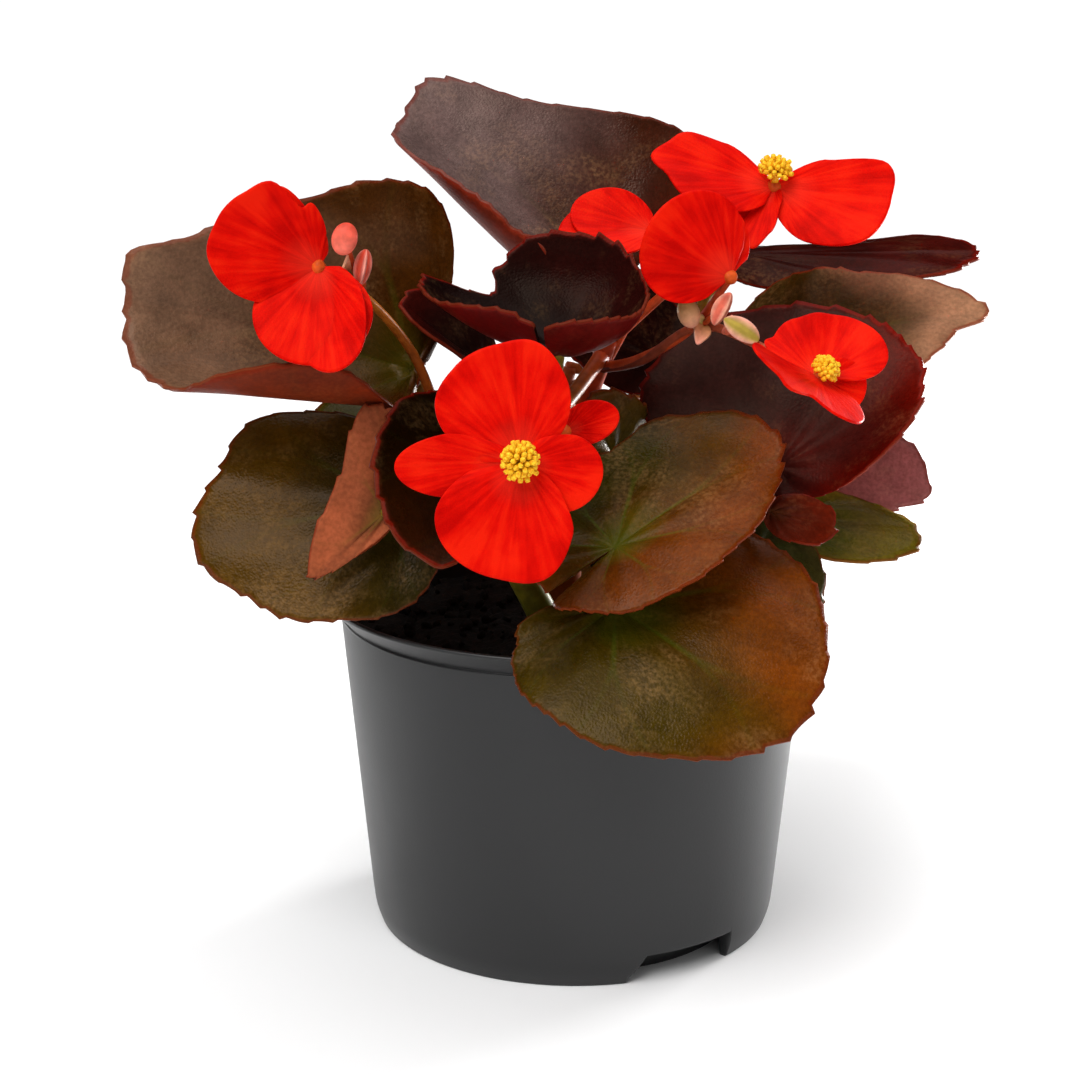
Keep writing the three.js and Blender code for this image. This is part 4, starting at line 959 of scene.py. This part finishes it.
def stamen_parts(centre, axis, reach):
    """Clubs from the heart to a dome: the i-th lies arccos(1 - DOME * i / count) from the axis, and
    is turned i golden angles round it."""
    axis = unit(axis)
    side = unit(np.cross((0, 0, 1), axis))
    up = np.cross(axis, side)
    random = np.random.default_rng(5)
    s = np.linspace(0, 1, 9)
    bulge = smoothstep(0.4, 0.75, s) * (1 - 0.35 * smoothstep(0.85, 1, s))
    core = centre + axis * (HEART / 2 + reach * 0.4)
    parts = []
    for i in range(STAMEN_COUNT):
        polar = math.acos(1 - DOME * (i + 0.5) / STAMEN_COUNT)
        flat = side * math.cos(GOLDEN_ANGLE * i) + up * math.sin(GOLDEN_ANGLE * i)
        way = axis * math.cos(polar) + flat * math.sin(polar)
        path = np.linspace(core, core + way * reach * random.uniform(0.85, 1.05), 9)
        parts.append(grid_part(carried_circle(path, THREAD + (CLUB - THREAD) * bulge, 7)))
    foot = centre + axis * (HEART / 2 - 0.3)
    path = np.linspace(foot, foot + axis * reach * 0.5, 6)
    parts.append(grid_part(carried_circle(path, np.full(6, 0.9), 10)))
    return parts


for name, bloom in BLOOMS.items():
    if "stamens" in bloom:
        tuft = name.replace("bloom", "stamens")
        parts = stamen_parts(bloom["centre"], bloom["axis"], bloom["stamens"])
        build(tuft + "_clubs", parts, [POLLEN], [tuft])
        print(tuft, "has", STAMEN_COUNT, "clubs")

# %% [markdown]
# ## Buds, seed cases and bracts
#
# A bud is two tepals pressed together like the halves of a purse: an egg with two grooves gives
# that form. Behind a female flower sits a seed case with three thin wings, which is pale green
# between them. Where stalks fork stand bracts, small pale scales, and they are the blade formula
# again at 3 to 5 mm.

# %% Buds
BUD_TINTS = {
    "bud_left_upper": ("#e04430", "#e8806c"),
    "bud_right_pale": ("#a8883c", "#d8907c"),
}
CASE_TINTS = {
    "bud_left_lower": ("#d8503c", "#e89888"),
    "bud_right_upper": ("#c8604c", "#d89880"),
    "bud_right_winged": ("#a8903c", "#e09c8c"),
}


def bud_part(centre, axis, size, low, high):
    """A bud: an egg with two grooves, tinted from its top to its foot."""
    egg = lumpy_ball(centre, axis, *size, 2, 0.12)
    s = np.linspace(0, 1, len(egg))[:, None, None]
    return grid_part(egg, tint=blend(low, high, s) * np.ones(egg.shape), flip=True)


def winged_case(centre, axis, size, low, high):
    """A seed case: an egg whose radius grows from a half to the whole at three wings, by
    exp(-(angle / 0.3) ** 2), and is tinted by the same share."""
    rows, sides = 26, 90
    around = np.linspace(0, 2 * np.pi, sides + 1)[None, :]
    t = np.linspace(0, np.pi, rows)[:, None]
    away = (around + np.pi / 3) % (2 * np.pi / 3) - np.pi / 3
    wing = (np.exp(-((away / 0.3) ** 2)) * np.sin(t) ** 0.4)[..., None]
    plain = lumpy_ball(centre, axis, *size, sides=sides, rings=rows)
    on_axis = centre + ((plain - centre) @ unit(axis))[..., None] * unit(axis)
    points = on_axis + (plain - on_axis) * (0.5 + 0.5 * wing)
    return grid_part(points, tint=blend(low, high, wing), flip=True)


for tints, form, ending in ((BUD_TINTS, bud_part, "_egg"), (CASE_TINTS, winged_case, "_case")):
    for name, (low, high) in tints.items():
        bud = BUDS[name]
        part = form(bud["centre"], bud["axis"], bud["size"], low, high)
        build(name + ending, [part], [STEM], [name])
print(len(BUD_TINTS), "buds and", len(CASE_TINTS), "seed cases")

# %% Bracts
BRACT_THICK = 0.5
BRACTS = [
    # Each is: foot, point, the way that its hollow side looks, and the tints of foot and point.
    ((-50, -44.5, 164.5), (-48, -47, 168.5), (0.8, -0.6, 0), "#e8a070", "#f0b090"),
    ((-50, -44.5, 163), (-47, -47.5, 160), (0.5, -0.8, 0.2), "#d8804c", "#f0a880"),
    ((28, -26, 150), (24.5, -28, 152.5), (-0.4, -0.8, 0.4), "#b8a050", "#e8a090"),
    ((28.5, -26, 149.5), (27, -29.5, 146), (0, -1, 0), "#c89058", "#e0907c"),
    ((33, -31, 149), (34.5, -32, 153), (0.5, -0.8, 0), "#c86048", "#e09078"),
]


def bract_part(foot, point, face, low, high):
    blade = dict(
        base=foot, tip=point, face=face, wide=(math.dist(foot, point) * 0.42,) * 2, lobe=0.1,
        round=0.1, spread=150, scallop=0, taper=(0.5, 0.5), step=(0.3, 1.0), fold=(12, 12),
        curl=(30, 30), bow=30, wave=0,
    )
    points, uv, flat = blade_sheet(blade, 8, 32)
    return grid_part(points, uv, blend(low, high, np.clip(flat[..., :1], 0, 1)), flip=True)


bracts = build("stalk_bracts", [bract_part(*bract) for bract in BRACTS], [STEM])
thicken(bracts, BRACT_THICK)
print(len(BRACTS), "bracts")

# %% [markdown]
# ## The pot
#
# Nursery pots are made of thin polypropylene with carbon black in it. The mould leaves a satin
# skin, and every edge is slightly rounded, which is what catches the light at the rim and where the
# lip joins the wall. The profile is a list of corners, and one function rounds them. The notches in
# the foot are made by lifting the lowest points of the wall, where their azimuth lies inside a
# notch.


# %% The pot's shape
RIM_RADIUS, POT_HEIGHT, WALL = 60, 82.5, 1.2
LIP_HEIGHT, NECK_RADIUS = 5.5, RIM_RADIUS - 4.5
HEEL_HEIGHT, HEEL_RADIUS = 9, RIM_RADIUS - 10.6
FOOT_RADIUS = RIM_RADIUS - 12.5
FLOOR_HEIGHT, FLOOR_THICK = 7.6, 1.5
INNER_RING_RADIUS, INNER_RING_WALL = 40.2, 1.4
NOTCH_HEIGHT, NOTCH_AZIMUTHS = 7, (-57, 123)
EDGE_STEP = 0.06  # degrees
LIP_PAINTED_LIGHT = 1.15  # the lip is painted a little paler than the wall: painted light on its flared band
NOTCH_EDGES = (-15.1, -10.5, 13.35, 13.75)  # across a notch: its slanted side, its upright side


def rounded(corners, steps=6):
    """Replaces each corner (r, z, radius) by a quadratic curve that touches both sides."""
    corners = np.array(corners, float)
    points, radii = corners[:, :2], corners[:, 2]
    path = [points[0]]
    for before, here, after, radius in zip(points[:-2], points[1:-1], points[2:], radii[1:-1]):
        back, on = before - here, after - here
        reach = min(radius, 0.45 * np.linalg.norm(back), 0.45 * np.linalg.norm(on))
        start, end = here + unit(back) * reach, here + unit(on) * reach
        t = np.linspace(0, 1, steps)[:, None]
        path.extend((1 - t) ** 2 * start + 2 * t * (1 - t) * here + t**2 * end)
    path.append(points[-1])
    return np.array(path)


def notch_top(azimuths):
    """How far the foot is lifted: 0 outside the notches, and NOTCH_HEIGHT inside them."""
    slant, inner, wall, outer = NOTCH_EDGES
    lift = np.zeros_like(azimuths)
    for middle in NOTCH_AZIMUTHS:
        across = FOOT_RADIUS * np.radians((azimuths - middle + 180) % 360 - 180)
        left = np.clip((across - slant) / (inner - slant), 0, 1)
        right = np.clip((outer - across) / (outer - wall), 0, 1)
        lift = np.maximum(lift, NOTCH_HEIGHT * np.minimum(left, right))
    return lift


def turned(profile, azimuths):
    """Carries a profile of (r, z) round Z: (r cos a, r sin a, z)."""
    around = np.radians(azimuths)
    r, z = profile[:, 0][:, None], profile[:, 1][:, None]
    return np.stack([r * np.cos(around), r * np.sin(around), z + 0 * around], axis=-1)


def pot_part():
    """The whole section of the pot, from the middle of its underside to the middle of its floor."""
    lip_foot = POT_HEIGHT - LIP_HEIGHT
    profile = rounded(
        [
            (0, FLOOR_HEIGHT, 0),
            (INNER_RING_RADIUS - INNER_RING_WALL, FLOOR_HEIGHT, 0.3),
            (INNER_RING_RADIUS - INNER_RING_WALL, 0, 0.3),
            (INNER_RING_RADIUS, 0, 0.3),
            (INNER_RING_RADIUS, FLOOR_HEIGHT, 0.3),
            (FOOT_RADIUS - 2.2, FLOOR_HEIGHT, 0.5),
            (FOOT_RADIUS - 1.9, 0, 0.4),
            (FOOT_RADIUS, 0, 0.5),
            (HEEL_RADIUS - 0.6, HEEL_HEIGHT * 0.4, 2.5),
            (HEEL_RADIUS, HEEL_HEIGHT, 3.5),
            (NECK_RADIUS + 0.3, lip_foot - 0.2, 0.2),
            (NECK_RADIUS - 0.2, lip_foot + 0.2, 0.2),
            (RIM_RADIUS, POT_HEIGHT - 0.6, 0.45),
            (RIM_RADIUS - 0.3, POT_HEIGHT, 0.25),
            (RIM_RADIUS - 1.3, POT_HEIGHT, 0.4),
            (NECK_RADIUS - WALL, lip_foot - 0.4, 0.8),
            (HEEL_RADIUS - WALL - 0.1, HEEL_HEIGHT + 4, 5),
            (FOOT_RADIUS - 1.5, FLOOR_HEIGHT + FLOOR_THICK, 2),
            (0, FLOOR_HEIGHT + FLOOR_THICK, 0),
        ]
    )
    # Rows stand close on both sides of each edge of a notch, so that it stays sharp.
    edges = [
        middle + math.degrees(across / FOOT_RADIUS) + step
        for middle in NOTCH_AZIMUTHS
        for across in NOTCH_EDGES
        for step in (-EDGE_STEP, 0, EDGE_STEP)
    ]
    azimuths = np.unique(np.concatenate([np.arange(361), np.array(edges) % 360]))
    grid = turned(profile, azimuths)
    height = grid[..., 2]
    skirt = (profile[:, 1] < FLOOR_HEIGHT - 0.2) & (profile[:, 0] > FOOT_RADIUS - 4)
    lifted = np.maximum(height, notch_top(azimuths))
    grid[..., 2] = height = np.where(skirt[:, None], lifted, height)
    on_lip = (height > lip_foot) & (height < POT_HEIGHT - 0.4)
    # The lip band is tinted paler: painted light on its flared face.
    shade = np.where(on_lip, LIP_PAINTED_LIGHT, 1.0)[..., None] * np.ones(3)
    return grid_part(grid, tint=shade, flip=True)


# %% [markdown]
# The plastic is black polypropylene: index 1.49, roughness about 0.4. Its fine grain comes from the
# mould, and handling leaves faint clouds that are a little paler and rougher.


# %% Pot material
def moulded_polypropylene():
    material, add, shader = new_material("moulded black polypropylene", IOR=1.49)
    tint = add("Attribute", attribute_name="tint")
    place = add("TexCoord").outputs["Object"]
    clouds = add("TexNoise", {"Vector": place, "Scale": 1 / (30 * MM), "Detail": 4.0})
    black = add("ValToRGB", [clouds], stops=[(0.35, "#131314"), (0.65, "#171718")])
    # The tint is 1 on the wall and paler on the lip band, as painted light.
    skin = add("VectorMath", [black, tint], operation="MULTIPLY")
    gloss = add("MapRange", [clouds, 0.3, 0.7, 0.38, 0.46])
    grain = add("TexNoise", {"Vector": place, "Scale": 1 / (0.6 * MM), "Detail": 1.0})
    relief = add("Bump", {"Height": grain, "Strength": 0.15, "Distance": 0.1 * MM})
    feed(shader, {"Base Color": skin, "Roughness": gloss, "Normal": relief})
    return material


PLASTIC = moulded_polypropylene()
pot = build("pot_shell", [pot_part()], [PLASTIC], ["pot"])
print("pot:", len(pot.data.polygons), "faces")

# %% [markdown]
# ## The peat
#
# Potting peat is a dark, moist crumble of fibres. A disc of rings is raised by waves of several
# sizes, and a few hundred crumbs lie on it, each a lumpy ball of its own turn and size.


# %% Peat
def moist_peat():
    material, add, shader = new_material("moist peat", Roughness=0.95, IOR=1.35)
    place = add("TexCoord").outputs["Object"]
    crumbs = add(
        "TexNoise", {"Vector": place, "Scale": 1 / (2 * MM), "Detail": 6.0, "Roughness": 0.7}
    )
    brown_stops = [(0.3, "#060403"), (0.55, "#120c08"), (0.75, "#241810")]
    brown = add("ValToRGB", [crumbs], brown_stops)
    relief = add("Bump", {"Height": crumbs, "Strength": 0.9, "Distance": 1.0 * MM})
    feed(shader, {"Base Color": brown, "Normal": relief})
    return material


def peat_parts():
    """The surface is z = level + waves of three sizes, under crumbs and over a plain block."""
    level = POT_HEIGHT - SOIL_DEPTH
    wall = NECK_RADIUS - WALL - 0.9
    rings = np.linspace(0, wall, 60)
    azimuths = np.linspace(0, 360, 181)
    top = turned(np.stack([rings, 0 * rings], axis=1), azimuths)
    bump = sum(high * waves(top, size, seed) for size, high, seed in PEAT_WAVES)
    top[..., 2] = level + bump * (1 - smoothstep(0.97, 1.0, rings / wall))[:, None]
    bottom = FLOOR_HEIGHT + FLOOR_THICK + 0.5
    side = [(wall, level), (HEEL_RADIUS - 2.2, 14), (FOOT_RADIUS - 2.4, bottom), (0, bottom)]
    parts = [grid_part(top), grid_part(turned(np.array(side), azimuths))]
    random = np.random.default_rng(11)
    for _ in range(CRUMB_COUNT):
        r, a = wall * 0.97 * math.sqrt(random.uniform()), random.uniform(0, 2 * np.pi)
        size = random.uniform(0.8, 2.6)
        centre = (r * math.cos(a), r * math.sin(a), level + random.uniform(0.2, 1.2))
        axis = random.normal(size=3)
        crumb = lumpy_ball(centre, axis, size * 1.5, size, 3, 0.25, sides=7, rings=6)
        parts.append(grid_part(crumb, flip=True))
    return parts


PEAT = moist_peat()
SOIL_DEPTH = 11
PEAT_WAVES = ((16, 0.9, 1), (6, 0.5, 2), (2.5, 0.35, 3))  # each: length, height, seed
CRUMB_COUNT = 420
build("peat_crumble", peat_parts(), [PEAT], ["soil"])
print(CRUMB_COUNT, "crumbs of peat")

# %% [markdown]
# ## Floor, light and camera
#
# The plant stands on a plain pale floor in a plain studio. A large soft key light stands above the
# camera's left, a second one hangs overhead, and a weak fill opens the shadows from the right. The
# fill and the dim white world aren't mirrored in the gloss, because a reflection from all sides
# would lay a grey veil over the dark leaves. Two low strips behind the pot draw the pale lines down
# its sides.

# %% Floor
FLOOR_RADIUS = 12
mesh = bpy.data.meshes.new("floor")
ring = np.radians(np.arange(0, 360, 5))
corners = [(FLOOR_RADIUS * math.cos(a), FLOOR_RADIUS * math.sin(a), 0) for a in ring]
mesh.from_pydata(corners, [], [list(range(len(ring)))])
floor = add_object("floor", mesh)
paper, _, _ = new_material("matt white paper", Roughness=0.9, Base_Color="#f4f4f4")
mesh.materials.append(paper)
print("floor:", FLOOR_RADIUS, "m in radius")


# %% Lights
def lamp(kind, name, place, aim, power, **settings):
    """A lamp shines along its own -Z, so it is pitched and turned until that points at its aim."""
    data = bpy.data.lights.new(name, kind)
    data.energy = power
    for key, value in settings.items():
        setattr(data, key, value)
    held = add_object(name, data)
    held.location = place
    way = np.array(aim, float) - np.array(place, float)
    pitch = math.acos(-way[2] / np.linalg.norm(way))
    held.rotation_euler = (pitch, 0, math.atan2(way[1], way[0]) - math.pi / 2)
    return held


MIDDLE = (0, 0, 0.12)
SUNS = {  # each: place, power, and its width in degrees
    "large soft key": ((-0.45, -0.7, 1.2), 2.8, 46),
    "soft overhead": ((0.05, 0.2, 1.2), 1.0, 50),
    "soft fill": ((0.8, -0.9, 0.8), 0.5, 80),
}
for name, (place, power, width) in SUNS.items():
    sun = lamp("SUN", name, place, MIDDLE, power, angle=math.radians(width))
sun.visible_glossy = False  # the last one, the fill
STRIP = dict(shape="RECTANGLE", size=0.25, size_y=0.16)
for side, power in ((-1, 1.0), (1, 13.0)):
    place = (side * 0.5, 0.45, 0.06)
    lamp("AREA", "side strip", place, (0, 0, 0.04), power, **STRIP).visible_camera = False
world = bpy.data.worlds.new("white studio")
bpy.context.scene.world = world
world.use_nodes = True
sky = world.node_tree.nodes["Background"]
feed(sky, {"Color": "#ffffff", "Strength": 0.15})
world.cycles_visibility.glossy = False
bpy.context.scene.view_settings.view_transform = "Standard"
print(len(SUNS), "suns and 2 strips")

# %% Camera
lens = bpy.data.cameras.new("camera")
lens.sensor_width, lens.lens = 36, 79.5
camera = add_object("camera", lens)
camera.location = (0, -0.55, 0.24)
TILT, TURN = 14.93, 0.85  # degrees down from level, and to the left
camera.rotation_euler = (math.radians(90 - TILT), 0, math.radians(TURN))
bpy.context.scene.camera = camera
print("camera at", np.round(np.array(camera.location) / MM).tolist(), "mm")
